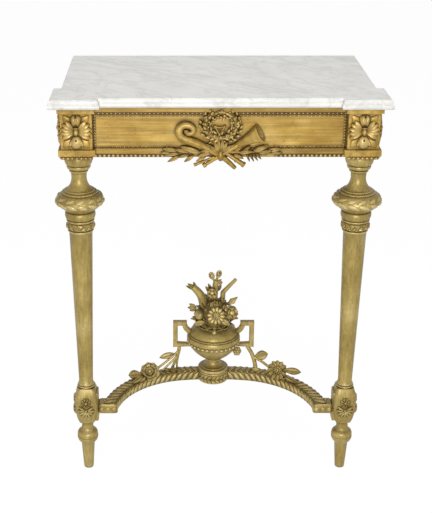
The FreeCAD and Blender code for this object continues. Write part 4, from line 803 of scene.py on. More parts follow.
# %% Leg profiles
LEG_FOOT = [(8, 0, 0.2), (11, 3, 0), (15, 65, 0), (16, 69, 0.12), (23.2, 80, 0.05), (23.6, 84, 0),
            (22.6, 84.8, 0), (23.4, 86, 0.05), (23.2, 89, 0.15), (17, 100, -0.12),
            (13.2, 112, -0.2), (19, 125, 0), (19, 130, 0)]
LEG_SHAFT = [(16, 205, 0), (18.5, 213, 0.35), (18, 217, 0), (16.4, 217.6, 0), (17.5, 218.4, 0.3),
             (16.8, 221.4, 0), (15.4, 224, 0), (24.6, 584, 0), (26.4, 586, 0.3), (26.4, 590, 0),
             (25, 591, 0), (26.8, 592, 0.12), (27.6, 606, 0), (26.4, 607.2, 0), (27.6, 608.4, 0.3),
             (29, 613, 0), (27.8, 614, 0), (30, 615.4, 0.12), (30.8, 631, 0), (29.8, 631.6, 0),
             (30.6, 633.4, 0.04), (37, 638.5, 0.05), (50.6, 653.5, 0.14), (39, 670.6, 0),
             (37, 671.2, 0), (37.6, 672.6, 0.2), (33.6, 675.2, 0), (31.6, 675.8, 0), (32, 677, 0.2),
             (28.4, 679.2, 0), (27.4, 679.6, -0.13), (16.2, 710, 0), (16.4, 716, 0.2), (20, 721, 0),
             (18.6, 722.2, 0), (21.5, 723.5, 0.2), (24.5, 731.5, 0), (23, 732.4, 0),
             (26, 733.5, 0.1), (29, 752, 0)]
foot_profile, shaft_profile = arcs(LEG_FOOT), arcs(LEG_SHAFT)
print("leg profiles:", len(foot_profile), "and", len(shaft_profile), "points")

# %% Lower block and its flower
BLOCK_LEVELS, BLOCK_HALVES = [124, 134, 158, 181, 200, 212], [17, 21.4, 25.2, 26.2, 23.8, 19.4]


def lower_block():
    """Square with swelling sides: the half width follows a smooth curve of the height, and the
    corners are eased by a superellipse of power 6."""
    half, height = curve(np.column_stack([BLOCK_HALVES, BLOCK_LEVELS]), 22).T[..., None]
    ring_x, ring_y = rounded_square(64, 6)
    return grid(closed(xyz(half * ring_x, half * ring_y, height)))


def block_flower():
    """A round flower of eight petals above, and a fan of nine leaves that spreads from a button
    below it."""
    small = petal(12.5, 8, 6.0, ribs=1, root=0.4, rows=7, columns=12)
    frond = leaf(20, 6.8, 7.4, belly=0.55, sink=3, groove=0.2, rows=7)
    # Two flat discs behind the petals and the fan are painted dark all over as shade.
    forms = [dirty(about_z(bead(12, 11, 2.4), 0, 0, 9), 1.0),
             dirty(about_z(bead(17, 15, 1.6), 0, 0, -13), 0.8)]
    forms += [about_z(small, degrees, 0, 10) for degrees in range(20, 380, 45)]
    forms += [about_z(frond, degrees, 0, -9) for degrees in range(150, 391, 30)]
    return join(*forms, about_z(bead(4.2, 4.2, 6.5), 0, 0, 10),
                about_z(bead(3.4, 3.4, 7.0), 0, 0, -9))


# %% Knob
KNOB_LOWER, KNOB_UPPER, GIRDLE = 655, 664, 599


def knob_carving(place):
    """Two rows of leaves on the knob, slanted against each other, and curls on the lower girdle."""
    lower = about_z(leaf(30, 11, 2.8, belly=0.45, groove=0.3, rows=13, sink=2), -22, -14, 2)
    upper = about_z(leaf(24, 8, 2.0, belly=0.45, groove=0.3, rows=11, sink=2), 20, -11, -4)
    curl = join(about_z(leaf(14, 7, 2.8, lobes=2, sink=2), 32, -5, -4),
                about_z(bead(2.2, 2.2, 2.8), 0, 4, -3.5),
                about_z(leaf(9, 5, 2.2, sink=2), 115, 4, -2))
    # The lower row keeps half its painted shade and gets a strong painted highlight.
    return join(around(with_shade_and_wear(lower, 0.5, 0.7), shaft_profile, 13, KNOB_LOWER, place, 0.1),
                around(with_shade_and_wear(upper, 1.0, 0.3), shaft_profile, 13, KNOB_UPPER, place),
                around(curl, shaft_profile, 14, GIRDLE, place))


# %% Legs
PAD_REACH, PAD_HALF, PAD_LOW, PAD_HIGH = 27, 17, 130, 200
RELIEF_FRONT, RELIEF_SIDE, RELIEF_LEVEL = 25.4, 23.5, 171


def leg(side):
    """Turned parts, block, stretcher pad and carving of one leg."""
    place = (side * LEG_X, LEG_Y, 0)
    inner, outer = sorted((0, -side * PAD_REACH))
    pad = eased_box((inner, -PAD_HALF, PAD_LOW), (outer, PAD_HALF, PAD_HIGH))
    relief = with_shade_and_wear(block_flower(), 0.75, -0.3)
    # The square block is darkened a little all over as painted shade.
    return join(turning(foot_profile, place), turning(shaft_profile, place), knob_carving(place),
                copies(dirty(lower_block(), 0.15), place), copies(pad, place),
                *on_block(relief, side, RELIEF_FRONT, RELIEF_SIDE, RELIEF_LEVEL))


for name, side in SIDES:
    piece(f"{name}_turned_leg", f"{name}_leg", leg(side), gold_turned)

# %% [markdown]
# ## Stretcher
# The stretcher bows back from the legs to a round hub. Its arms are clad with laurel that grows
# from the hub to the legs: pairs of leaves part from the front ridge, one back over the top and one
# down the front. The bar is one eased section carried along two tangent arcs, and the leaves are
# copies of one small leaf that follow it.

# %% The bow's line
BAR_HALF, BAR_LOW, BAR_HIGH = 15.5, 149.0, 175.0
FLAT_ANGLE, END_ANGLE, BOW_SPAN = math.radians(8), math.radians(80), 222.0


def bow_line(count):
    """Middle line of the right arm from the hub to the leg, in even steps: a wide arc, then a tight
    one."""
    span = BOW_SPAN + BAR_HALF * math.sin(END_ANGLE)
    depth = BAR_HALF - LEG_Y - BAR_HALF * math.cos(END_ANGLE)
    rise = math.cos(FLAT_ANGLE) - math.cos(END_ANGLE)
    run = math.sin(END_ANGLE) - math.sin(FLAT_ANGLE)
    scale = math.sin(FLAT_ANGLE) * rise - (1 - math.cos(FLAT_ANGLE)) * run
    wide = (span * rise - depth * run) / scale
    tight = (depth * math.sin(FLAT_ANGLE) - span * (1 - math.cos(FLAT_ANGLE))) / scale
    angle = np.concatenate([np.linspace(0, FLAT_ANGLE, 40),
                            np.linspace(FLAT_ANGLE, END_ANGLE, 160)[1:]])
    beyond = angle > FLAT_ANGLE
    radius, shift = np.where(beyond, tight, wide), np.where(beyond, wide - tight, 0)
    x = shift * math.sin(FLAT_ANGLE) + radius * np.sin(angle)
    y = shift * math.cos(FLAT_ANGLE) + radius * np.cos(angle) - wide
    run = lengths(np.column_stack([x, y]))
    even = np.linspace(0, run[-1], count)
    return np.column_stack([np.interp(even, run, x), np.interp(even, run, y)]), even


# %% Arm bar
def arm_bar():
    """Bar of the right arm: an eased section, as wide and high as the stretcher, square to the
    line."""
    line, _ = bow_line(90)
    heading = unit(np.gradient(line, axis=0))
    ring_x, ring_y = rounded_square(32, 5)
    across = BAR_HALF * 0.96 * ring_x
    level = (BAR_LOW + BAR_HIGH) / 2 + (BAR_HIGH - BAR_LOW) / 2 * 0.96 * ring_y
    rings = xyz(line[:, :1] - heading[:, 1:] * across, line[:, 1:] + heading[:, :1] * across, level)
    # The bar shows between the leaves, so it is painted dark as shade.
    return dirty(grid(closed(rings)), 0.7)


# %% Laurel on the arms
LAUREL_PITCH, LAUREL_START, LAUREL_END, LAUREL_SEAT = 14.0, 34.0, 14, 1.6
TOP_LEAF, FACE_LEAF, BACK_LEAF = (33, 8.8, 3.2), (27, 9.4, 3.2), (25, 9.0, 3.0)
LAUREL = {"belly": 0.5, "rows": 8, "columns": 10, "groove": 0.45, "sink": 1.5}


def laurel_rows():
    """Leaves in pairs from the front ridge, at equal steps along the bow: one goes back over the
    top and one down the front, both towards the leg; a third row goes down behind. Berries sit on
    the ridge near the hub."""
    line, run = bow_line(400)
    heading = unit(np.gradient(line, axis=0))
    steps = np.arange(LAUREL_START, run[-1] - LAUREL_END, LAUREL_PITCH)
    x, y, head_x, head_y = (np.interp(steps, run, values) for values in (*line.T, *heading.T))
    ahead, front = xyz(head_x, head_y, 0.0), xyz(head_y, -head_x, 0.0)
    high = xyz(x, y, BAR_HIGH - LAUREL_SEAT)
    ridge, behind = high + front * 13.4, high - front * 13.8
    rows = [(ridge, ahead * 0.64 - front * 0.77 + UP * 0.04, UP, TOP_LEAF),
            (ridge + front * 0.8, ahead * 0.62 - UP * 0.78 + front * 0.04, front, FACE_LEAF),
            (behind, ahead * 0.62 - UP * 0.78 - front * 0.04, -front, BACK_LEAF)]
    forms = [copies(leaf(*size, **LAUREL), start, axes(along, out))
             for start, along, out, size in rows]
    return join(*forms, copies(bead(3, 3, 3), ridge[:4] + ahead[:4] * 7))


# %% Straight ends
STUB_HIGH, ARM_END, BUTTON_STEPS = 171.0, 263.0, (6, 20, 34)


def arm_stub():
    """Straight end at the leg: an eased block with three low buttons on its front and leaves on its
    top."""
    face = LEG_Y - BAR_HALF
    block = eased_box((BOW_SPAN - 2, face, BAR_LOW - 1), (ARM_END, LEG_Y + BAR_HALF, STUB_HIGH),
                      0.08)
    # The buttons lose the pale gold of wear and painted highlight, and the block is darkened a
    # little as painted shade.
    button = with_shade_and_wear(bead(5.4, 6.4, 2.6, columns=14), 1.0, -0.5)
    buttons = [stand(button, (BOW_SPAN + step, face, BAR_LOW + 10), RIGHT) for step in BUTTON_STEPS]
    starts = xyz(np.arange(BOW_SPAN, ARM_END - 18, LAUREL_PITCH), LEG_Y - 14.6,
                 STUB_HIGH - LAUREL_SEAT)
    return join(dirty(block, 0.25), *buttons,
                copies(leaf(*TOP_LEAF, **LAUREL), starts, axes((0.6, 0.78, 0.04), UP)))


arm = join(arm_bar(), laurel_rows(), arm_stub())
piece("right_laurel_arm", "stretcher_right_arm", arm, gold_flowers)
piece("left_laurel_arm", "stretcher_left_arm", mirrored(arm), gold_flowers)

# %% Hub
HUB = [(34, 149, 0.2), (36, 151, 0), (36, 173, 0.2), (34, 175, 0)]
HUB_MIDDLE = (BAR_LOW + BAR_HIGH) / 2


def hub():
    """Drum with eased rims, two rows of laurel leaves wrapped round its side, and berries between
    them."""
    profile = arcs(HUB)
    shoot = leaf(15, 7.4, 3.2, rows=7, columns=8, sink=1.5)
    pair = join(about_z(shoot, 40, -5, 1), about_z(shoot, -40, -5, -1))
    # The drum under the leaves is painted dark as shade.
    return join(turning(profile, dirt_and_shade=0.8), around(pair, profile, 24, HUB_MIDDLE),
                around(about_z(bead(2.2, 2.2, 3.0), 0, 6), profile, 12, HUB_MIDDLE))


piece("laurel_hub", "stretcher_hub", hub(), gold_flowers)

# %% [markdown]
# ## Urn
# The urn is turned in two parts, a foot and a bowl, with a string of pearls round the belly and a
# groove under the shoulder. Its handles are square bars bent like a key: out of the belly, up, in
# along the top and down to the shoulder. The bar's section is carried along its path with true
# mitres, as a joiner would cut it.

# %% Urn foot and bowl
URN_FOOT = [(33, 175, 0.3), (35, 178, 0.2), (34, 182.4, 0), (31, 182.8, 0), (29.6, 183, 0.3),
            (26, 185.4, -0.2), (15.5, 201, 0)]
URN_BOWL = [(15.5, 200, 0), (18.4, 201.4, 0.35), (18.4, 205, -0.1), (27, 210, 0.06),
            (59.2, 244.4, 0), (58.4, 245.2, 0), (59, 254.6, 0), (61.6, 255.2, 0.1),
            (62.5, 259, 0.05), (60.6, 265, 0), (58.4, 265.6, 0), (59, 267.8, 0.2), (57.6, 269, 0),
            (55.4, 269.4, 0), (55.8, 271, 0.12), (37.4, 288.6, 0), (36.4, 289, 0), (37.6, 290, 0.3),
            (35.6, 291.4, 0)]
PEARL_COUNT, PEARL_LEVEL, BLOSSOM_PLACE = 34, 250, (55, -21, 230.5)


def urn_bowl():
    """Bowl with pearls in a channel darkened as painted shade, and a small flower on a short stem
    at its right.
    """
    profile = arcs(URN_BOWL)
    pearl = with_shade_and_wear(bead(4.0, 4.0, 4.2, rows=7, columns=10), 0.5, 0.6)
    small = petal(11.5, 12, 3.6, ribs=1, root=0.4, rows=6, columns=8)
    blossom = join(*(about_z(small, degrees) for degrees in range(0, 360, 60)), bead(3, 3, 4))
    return join(turning(profile, columns=96), around(pearl, profile, PEARL_COUNT, PEARL_LEVEL),
                aim(with_shade_and_wear(blossom, 0.6, 0.1), BLOSSOM_PLACE, (0.35, -0.9, 0.3)),
                bar([(40, -14, 237), (48, -18, 233), BLOSSOM_PLACE], [4.0, 3.4, 3.0]))


piece("urn_turned_foot", "urn_foot", turning(arcs(URN_FOOT)), gold_turned)
piece("urn_turned_bowl", "urn_bowl", urn_bowl(), gold_turned)

# %% Urn handles
HANDLE_KEY = [(52, 238.5), (89.5, 238.5), (89.5, 294), (68, 294)]
HANDLE_BEND = [(68, 290), (66, 283), (61, 276), (54, 271.5), (46, 270), (38, 271)]
HANDLE_SECTION = np.array([(-5.4, -5), (-4, -6.5), (4, -6.5), (5.4, -5), (5.4, 5), (4, 6.5),
                           (-4, 6.5), (-5.4, 5)])
HANDLE_THIN = 0.66


def urn_handle():
    """Eased square section, 11 by 13, mitred along a path in the plane of the urn's axis; the lower
    bar thins by a third where it meets the belly."""
    path = np.concatenate([HANDLE_KEY, curve(HANDLE_BEND, 16)])
    heading = unit(np.diff(path, axis=0))
    normal = np.column_stack([-heading[:, 1], heading[:, 0]])
    before, after = np.concatenate([normal[:1], normal]), np.concatenate([normal, normal[-1:]])
    mitre = (before + after) / (1 + (before * after).sum(axis=1, keepdims=True))
    mitre[0] *= HANDLE_THIN
    flat = path[:, None] + mitre[:, None] * HANDLE_SECTION[:, :1]
    return grid(closed(xyz(flat[..., 0], HANDLE_SECTION[:, 1], flat[..., 1])))


handle = urn_handle()
piece("urn_right_key_handle", "urn_right_handle", handle, gold_turned, crease=30)
piece("urn_left_key_handle", "urn_left_handle", mirrored(handle), gold_turned, crease=30)

# %% [markdown]
# ## Flowers
# The bouquet has a daisy in front, a pomegranate on the left, a rose on the right, and branches
# above. A flower is a ring of petals about a button; a rose has several rings that stand up more
# and more towards the bud.


# %% Whorls and daisies
def whorl(shape, count, lean, radius, lift, start=0.0):
    """Ring of petals about z: each starts at a radius, and leans up from the plane by an angle in
    degrees."""
    out, lean = spokes(start + angles(count)), math.radians(lean)
    along = out * math.cos(lean) + UP * math.sin(lean)
    return copies(shape, out * radius + UP * lift, axes(along, UP - out * math.tan(lean)))


def daisy(radius, petals):
    """Open flower: a ring of broad ribbed petals, a ring of short ones, and a button set with small
    beads."""
    width = 1.1 * TAU / petals
    long = petal(radius, radius * width, radius * 0.22, ribs=2, root=0.3, rows=8, columns=14)
    short = petal(radius * 0.5, radius * width * 0.45, radius * 0.16, ribs=1, root=0.3, rows=6,
                  columns=10)
    seats = ellipse(radius * 0.2, radius * 0.2, (0, 0, radius * 0.34), 9)[:-1]
    seed = bead(radius * 0.09, radius * 0.09, radius * 0.09, rows=5, columns=6)
    return with_shade_and_wear(join(whorl(long, petals, 12, 1, 0),
                     whorl(short, petals, 34, 1, radius * 0.1, 0.5 * TAU / petals),
                     bead(radius * 0.28, radius * 0.28, radius * 0.4), copies(seed, seats)),
                0.6, -0.12)


# %% Roses
ROSE_RINGS = ((9, 6, 1.0, 0.0, 0.86), (7, 28, 0.82, 0.5, 1.0), (5, 54, 0.7, 0.1, 1.1))


def rose(radius):
    """Full rose: cupped petals in rings that lean up from flat to closed, round a small bud. A ring
    is given by its petals, their lean, their size as a share of the radius, where the ring starts,
    and how wide they are."""
    forms = [bead(radius * 0.4, radius * 0.4, radius * 0.6, rows=9, columns=14)]
    for ring, (count, lean, size, start, wide) in enumerate(ROSE_RINGS):
        cupped = petal(radius * size, radius * size * wide, radius * 0.22, ribs=2, root=0.5,
                       curl=radius * 0.12, rows=8, columns=14)
        forms.append(whorl(cupped, count, lean, radius * 0.08, radius * 0.06 * ring, start))
    return with_shade_and_wear(join(*forms), 0.6, 0.05)


def rose_bud(radius):
    """Rose that is half open: a ball with five petals folded round it, over a ring of seven that
    spread."""
    fold = petal(radius * 1.05, radius * 1.3, radius * 0.3, ribs=1, root=0.6, curl=radius * 0.3,
                 rows=9, columns=16)
    spread = petal(radius, radius * 0.95, radius * 0.22, ribs=1, root=0.5, rows=8, columns=14)
    return with_shade_and_wear(join(whorl(spread, 7, 4, 0, 0),
                     whorl(fold, 5, 40, radius * 0.1, radius * 0.08, 0.4),
                     bead(radius * 0.66, radius * 0.66, radius * 0.86, rows=11, columns=18)),
                0.45, 0.1)


# %% Sprigs
def sprig(starts, tips, width, out, height=3.4, **shape):
    """Leaves from starts to tips: each is a copy of one leaf, drawn to its own length."""
    starts = np.array(starts, float)
    along = np.array(tips) - starts
    drawn = xyz(np.linalg.norm(along, axis=1), 1.0, 1.0)[:, None, :]
    return copies(leaf(1.0, width, height, **shape), starts, axes(along, out) * drawn)


# %% Foliage in the urn
GOLDEN_ANGLE, MOUND_LEAVES, MOUND_RADIUS, MOUND_LOW, MOUND_RISE = 2.39996, 58, 36, 292, 66
MOUND_DOME = [(33, 291, 0.1), (37, 312, 0.12), (8, 358, 0)]


def foliage_mound():
    """Core of the bouquet: a dome painted dark as shade under small leaves that stand off it on a
    golden-angle spiral."""
    draw = np.random.default_rng(7)
    level = np.linspace(0.02, 0.92, MOUND_LEAVES)[:, None]
    ring = spokes(np.arange(MOUND_LEAVES) * GOLDEN_ANGLE)
    seats = ring * MOUND_RADIUS * np.sqrt(1 - level ** 2 * 0.92)
    seats = seats + UP * (MOUND_LOW + MOUND_RISE * level)
    out = ring + UP * (0.2 + 0.9 * level)
    along = ring * 0.5 + UP * 0.7 + draw.normal(0, 0.45, (MOUND_LEAVES, 3))
    small = leaf(17, 9, 3.6, curl=3, rows=7, columns=8)
    return join(turning(arcs(MOUND_DOME), columns=40, dirt_and_shade=0.9),
                copies(small, seats - out * 2, axes(along, unit(out))))


def rim_leaves():
    """Nine lobed leaves that droop over the urn's mouth, and a pendant that hangs on its front."""
    out = spokes(angles(9, 0.5) - math.pi / 2)
    lobed = leaf(30, 17, 4.4, belly=0.5, curl=-8, lobes=3, rows=13, sink=1.5)
    pendant = join(bead(5.5, 7, 4), about_z(leaf(11, 8, 3), 90, 0, 4))
    return join(copies(lobed, out * 25 + UP * 297, axes(out * 0.94 + UP * 0.34, UP)),
                aim(pendant, (0, -42, 290), (0, -1, 0.6)))


piece("bouquet_foliage", "bouquet_mound", foliage_mound(), gold_flowers)
piece("bouquet_rim_leaves", "bouquet_leaves", rim_leaves(), gold_flowers)


# %% Side branches
def left_branch():
    """Stout branch that leans out to the left and ends in leafy fingers."""
    stem = curve([(-16, 0, 312), (-23, -2, 340), (-27, -3, 362), (-38, -4, 378), (-50, -4, 389)],
                 20)
    tips = [(-66, -4, 391), (-62, -8, 399), (-48, -2, 401), (-58, 2, 394)]
    return join(bar(stem, [10.5, 11.5, 11, 9.5, 8, 6]),
                sprig([(-42, -4, 381)] * 4, tips, 8.5, (0, -1, 0.4), 5, sink=4))


def right_branch():
    """Slender stem that rises to the right to a cut end."""
    corner = (20.5, -1, 373)
    stem = curve([(17, 0, 312), (20, -1, 345), corner, corner, (35, -2, 390), (50, -3, 407)], 24)
    return bar(stem, [6, 6, 5.8, 4.4, 3.6])


piece("bouquet_left_bough", "bouquet_left_branch", left_branch(), gold_flowers)
piece("bouquet_right_stem", "bouquet_right_branch", right_branch(), gold_flowers)


# %% Forked bud
def centre_bud():
    """Full flower on a stout stem that forks into two looped pods and a small side bud."""
    stem = curve([(0, 0, 318), (0, -1, 350), (2, -3, 382), (4, -3, 404)], 14)
    starts = [(-8, -6, 374), (-4, 2, 372), (8, 3, 374), (4, -4, 396), (6, -4, 398)]
    tips = [(-21, -8, 392), (-14, 8, 392), (17, 8, 390), (17, -5, 408), (20, -5, 400)]
    forms = [bar(stem, [8, 8, 7, 5.4]), aim(rose_bud(13.5), (-4, -10, 375), (-0.15, -1, 0.5)),
             aim(daisy(8.5, 7), (2, -19, 351), (0.1, -1, 0.1)),
             sprig(starts, tips, 9, (0, -1, 0.3), 4.0, sink=3, curl=1)]
    fork, turn = np.array([3, -3, 400.0]), np.linspace(0, TAU, 21)[:, None]
    for tip, lean in (((-4, -4, 409), (-0.3, 0, 1)), ((8, -4, 413), (0.3, 0, 1))):
        tip, lean = np.array(tip, float), unit(lean)
        loop = tip + lean * 7.5 * (1 - np.cos(turn))
        loop = loop + np.cross(lean, (0, 1, 0)) * 4.6 * np.sin(turn)
        forms += [bar([fork, (tip + fork) / 2, tip], [4.0, 3.0, 2.4], 8), bar(loop, [2.3], 8),
                  aim(bead(2.8, 5.4, 2.0), tip + lean * 7.5, (0, -1, 0.2))]
    return join(*forms)


piece("bouquet_forked_bud", "bouquet_bud", centre_bud(), gold_flowers)

# %% Flowers in the urn
def open_daisy():
    """The large daisy in front, with two leaves below it."""
    starts, tips = [(14, -38, 323), (-20, -30, 312)], [(37, -44, 308), (-48, -26, 303)]
    return join(aim(daisy(20.5, 12), (4, -37, 330), (0, -1, 0.35)),
                sprig(starts, tips, 14, (0, -1, 0.5), 4, sink=2))


def open_rose():
    """The rose on the right, the leaf that stands above it, and one below."""
    starts, tips = [(30, -6, 342), (32, -10, 320)], [(55, -6, 364), (57, -14, 311)]
    return join(aim(rose_bud(17.5), (38, -14, 328), (0.3, -0.85, 0.3)),
                sprig(starts, tips, 16, (0.1, -1, 0.2), 4, lobes=2, sink=2))


def pomegranate():
    """Ball with a six-toothed crown, and a three-leaved sprig beyond it."""
    crown = whorl(leaf(8, 5.5, 1.8, belly=0.4, rows=6, columns=8), 6, 58, 3.0, 12.5)
    fruit = join(bead(14.5, 14.5, 14.5, rows=15, columns=22), crown)
    tips = [(-58, -9, 348), (-62, -11, 339), (-57, -10, 330)]
    return join(aim(fruit, (-32, -14, 323), (-0.8, -0.3, -0.5)),
                sprig([(-40, -8, 336)] * 3, tips, 10, (-0.2, -1, 0.2), 4, sink=3))


piece("bouquet_white_daisy", "bouquet_daisy", open_daisy(), gold_flowers)
piece("bouquet_open_rose", "bouquet_rose", open_rose(), gold_flowers)
piece("bouquet_fruit", "bouquet_pomegranate", pomegranate(), gold_flowers)

# %% [markdown]
# ## Garlands on the arms
# From each handle a twig comes down to the stretcher, and a flower with leaves lies on the arm
# beyond it. The left flower is a rose on a twig of several strands, the right one an open daisy on
# one stout stem, as carved. Both are drawn for the right arm, and the left one is then mirrored.


# %% Places on an arm
def on_arm(x, lift=0.0, front=0.0):
    """Place on the right arm's middle line at a distance from the hub, above its top and in front
    of the line."""
    line, _ = bow_line(300)
    return np.array([x, float(np.interp(x, line[:, 0], line[:, 1])) - front, BAR_HIGH + lift])


# %% Garlands
TWIG_HEAD = (80, 0, 233)
TO_FRONT, TO_FRONT_UP, TO_UP = (0, -0.85, 0.5), (0, -0.8, 0.6), (0, -0.6, 0.8)
BROAD = {"sink": 4, "rows": 11}


def left_garland():
    """Rose, rounded leaves, and a twig of several strands with one long leaf."""
    strands = [([TWIG_HEAD, (82, -4, 216), (90, -8, 196), on_arm(100)], [4.6, 4.4, 3.2, 3.4]),
               ([(82, -4, 216), (86, -8, 196), on_arm(86)], [3.2, 2.4, 2.4]),
               ([(82, -4, 222), (102, -10, 204), on_arm(138, 8)], [3.6, 3.0, 3.0]),
               ([(86, -6, 208), (102, -12, 194), on_arm(120, 3)], [3.0, 2.4])]
    forms = [bar(curve(path, 12), radii, 8) for path, radii in strands]
    shoots = [on_arm(116, 9, 8), on_arm(92, 14, 10), on_arm(84, 6, 12)]
    forms += [sprig([(90, -5, 216)], [(128, -12, 208)], 15, TO_FRONT_UP, 4, belly=0.5, sink=2),
              sprig([on_arm(100, 1)] * 3, shoots, 8, (0, -1, 0.5), 3, sink=2),
              aim(rose(22.5), on_arm(149, 8, 4), (0.05, -0.75, 0.66)),
              sprig([(166, -46, 184)], [(199, -64, 190)], 22, TO_FRONT, 6.5, belly=0.6, **BROAD),
              sprig([on_arm(164, 4), on_arm(160, 2)], [on_arm(190, 3, 16), on_arm(174, 0, 20)],
                    15, TO_UP, 6, **BROAD)]
    return join(*forms)


def right_garland():
    """Open daisy, a pair of leaves beyond it, and a stout stem with one broad leaf."""
    stem = curve([TWIG_HEAD, (92, -4, 216), (99, -8, 194), on_arm(101)], 14)
    side_stem = curve([(93, -6, 208), (114, -12, 200), on_arm(140, 8)], 12)
    return join(bar(stem, [4.6, 4.8, 5.0, 5.8]), bar(side_stem, [3.6, 3.4, 3.2], 8),
                sprig([(96, -6, 207)], [(129, -13, 219)], 23, TO_FRONT_UP, 4.5, belly=0.55, sink=2,
                      rows=13),
                sprig([on_arm(112)], [on_arm(90, 6, 8)], 11, TO_FRONT_UP, 4, sink=2),
                aim(daisy(24, 12), on_arm(149, 12, 4), (0.1, -0.75, 0.66)),
                sprig([(158, -38, 191)], [(203, -62, 196)], 17, TO_FRONT, 6, belly=0.6, **BROAD),
                sprig([on_arm(164, 2)], [on_arm(194, 4, 14)], 14, TO_UP, 6, **BROAD))


piece("right_flower_garland", "right_garland", right_garland(), gold_flowers)
piece("left_flower_garland", "left_garland", mirrored(left_garland()), gold_flowers)

# %% [markdown]
# ## Trophy
# In the middle of the frieze hangs a trophy of music: a laurel wreath round a small lyre, a curled
# horn on the left, a trumpet on the right, pipe ends below and laurel sprays to both sides. It is
# drawn as a relief about the wreath, x to the right, y up and z out of the panel, and then set up
# on the rail.

# %% Wreath
WREATH_CENTRE, WREATH_HALF = np.array([2.0, 6.5]), np.array([31.0, 28.0])
WREATH_ROWS = ((-6.5, 6, -30, 20, 0.0), (6.5, 6, 30, 25, 0.4), (0, 10, 4, 22, 0.7))
WREATH_BERRIES = 26
TROPHY_PLACE = (0.0, PANEL_Y, 813.5)


def on_wreath(turn, step, lift):
    """Places on the wreath at each angle, outside its middle line by a step."""
    flat = spokes(turn)[:, :2] * (WREATH_HALF + step) + WREATH_CENTRE
    return xyz(flat[:, 0], flat[:, 1], lift)


def wreath():
    """Oval ring painted dark as shade, with three rows of leaves that run up both sides to the top,
    set askew, and berries. A row is given by its step from the middle line, its height, its splay,
    its leaves and where it starts."""
    draw = np.random.default_rng(3)
    small = leaf(14, 6.4, 3.8, curl=1.5, rows=7, columns=10, sink=2)
    forms = [bar(ellipse(*WREATH_HALF, (*WREATH_CENTRE, 6.0), 61), [7.0], 12, (1.0, 0.0))]
    for step, lift, splay, count, first in WREATH_ROWS:
        turn = angles(count, first) - math.pi / 2
        way = np.where(np.cos(turn) >= 0, 1, -1)
        lean = turn + way * (math.pi / 2 - math.radians(splay)) + draw.normal(0, 0.3, count)
        along = xyz(np.cos(lean), np.sin(lean), 0.34 + draw.normal(0, 0.16, count))
        forms.append(copies(small, on_wreath(turn, step, lift), axes(along, UP)))
    zigzag = (5 * (-1.0) ** np.arange(WREATH_BERRIES))[:, None]
    berries = on_wreath(angles(WREATH_BERRIES) + 0.1, zigzag, 13.5)
    return with_shade_and_wear(join(*forms, copies(bead(2.4, 2.4, 2.4, rows=6, columns=8), berries)), 0.6, 0.05)


def on_panel(name, node, form):
    """Sets a part of the trophy up on the rail's panel."""
    piece(name, node, stand(form, TROPHY_PLACE, RIGHT), gold_carved)


on_panel("trophy_wreath", "wreath", wreath())


# %% Lyre
def lyre():
    """Two arms that part like a V, a yoke across them, strings, and a small palmette at the
    foot."""
    arms = [curve([(0, -15, 4), (side * 4, -8, 5), (side * 7.5, 0, 5), (side * 11.5, 6, 6)], 12)
            for side in (-1, 1)]
    # The strings carry a share of dirt and painted shade.
    return join(*(bar(path, [3.2, 2.8, 2.4, 2.8], 10) for path in arms),
                *(bar([(x, -9, 4.5), (1.7 * x, 3, 5)], [0.9], 6, (0.4, 0.0)) for x in (-2, 0, 2)),
                bar(curve([(-9, 3, 6), (0, 1.5, 7), (9, 3, 6)], 9), [1.9], 8),
                about_z(bead(4.6, 5.6, 5), 0, 0, -14, 3))


on_panel("trophy_lyre", "lyre", lyre())

# %% Trumpet
TUBE = [(0, 0), (0, 4.6), (0.03, 5), (0.07, 4.6), (0.08, 3.4), (0.42, 4.2), (0.43, 6.0),
        (0.47, 6.0), (0.48, 4.4), (1, 6.4), (1, 0)]
BELL = [(0, 0), (0, 6.2), (0.08, 8.0), (0.12, 8.0), (0.14, 7.0), (0.35, 9.4), (0.6, 12.4),
        (0.8, 15.2), (0.93, 17.6), (1.0, 19.0), (1.015, 18.6), (1.0, 17.2), (0.93, 15), (0.8, 11.5),
        (0.66, 0)]


def spun(start, end, profile, hollow=0, columns=28):
    """Round body on an axis from start to end; the profile gives (share of the length, radius) and
    its last few points, as many as hollow says, are the inside, darkened as painted shade."""
    start, end = np.asarray(start, float), np.asarray(end, float)
    share, radius = np.asarray(profile, float).T
    heading = unit(end - start)
    side = unit(np.cross(heading, UP))
    dirt_and_shade = np.where(np.arange(len(share)) >= len(share) - hollow, 0.45, 0.0)
    points = circles(start + np.outer(share, end - start), radius, heading, side, columns)
    return grid(points, np.stack([dirt_and_shade, 0 * dirt_and_shade], axis=-1)[:, None, :])


def trumpet():
    """Straight tube up to the right with a ring, and a bell that leans out a little, so that its
    mouth shows."""
    return join(spun((-33, -79, 8), (42, -30, 10), TUBE),
                spun((38, -32.5, 10.5), (81, -6, 22.5), BELL, hollow=4))


on_panel("trophy_trumpet", "trumpet", trumpet())

# %% Horn
HORN_PATH = [(33, -85, 5), (6, -58, 7), (-26, -40, 8), (-54, -28, 8), (-76, -21, 8), (-86, -6, 8),
             (-77, 8, 8), (-60, 8, 9), (-51, -2, 10), (-57, -11, 11), (-68, -9, 12), (-69, -1, 13)]
HORN_RADII = [3.6, 4.8, 6.4, 8.3, 9.2, 8.8, 8.0, 7.0, 6.0, 5.2, 4.6, 3.8]


def horn():
    """Horn from the lower right that swells to the left and curls in on itself."""
    # The whole horn carries a little dirt and painted shade.
    return bar(curve(HORN_PATH, 60), HORN_RADII, 16, (0.1, 0.0))


on_panel("trophy_horn", "horn", horn())

# %% Pipes
PIPE = np.array([(0, 0), (0, 0.9), (0.5, 0.95), (0.52, 1.2), (0.6, 1.2), (0.62, 1.0), (0.9, 1.1),
                 (0.92, 1.3), (1, 1.25), (1, 0.9), (0.94, 0)])


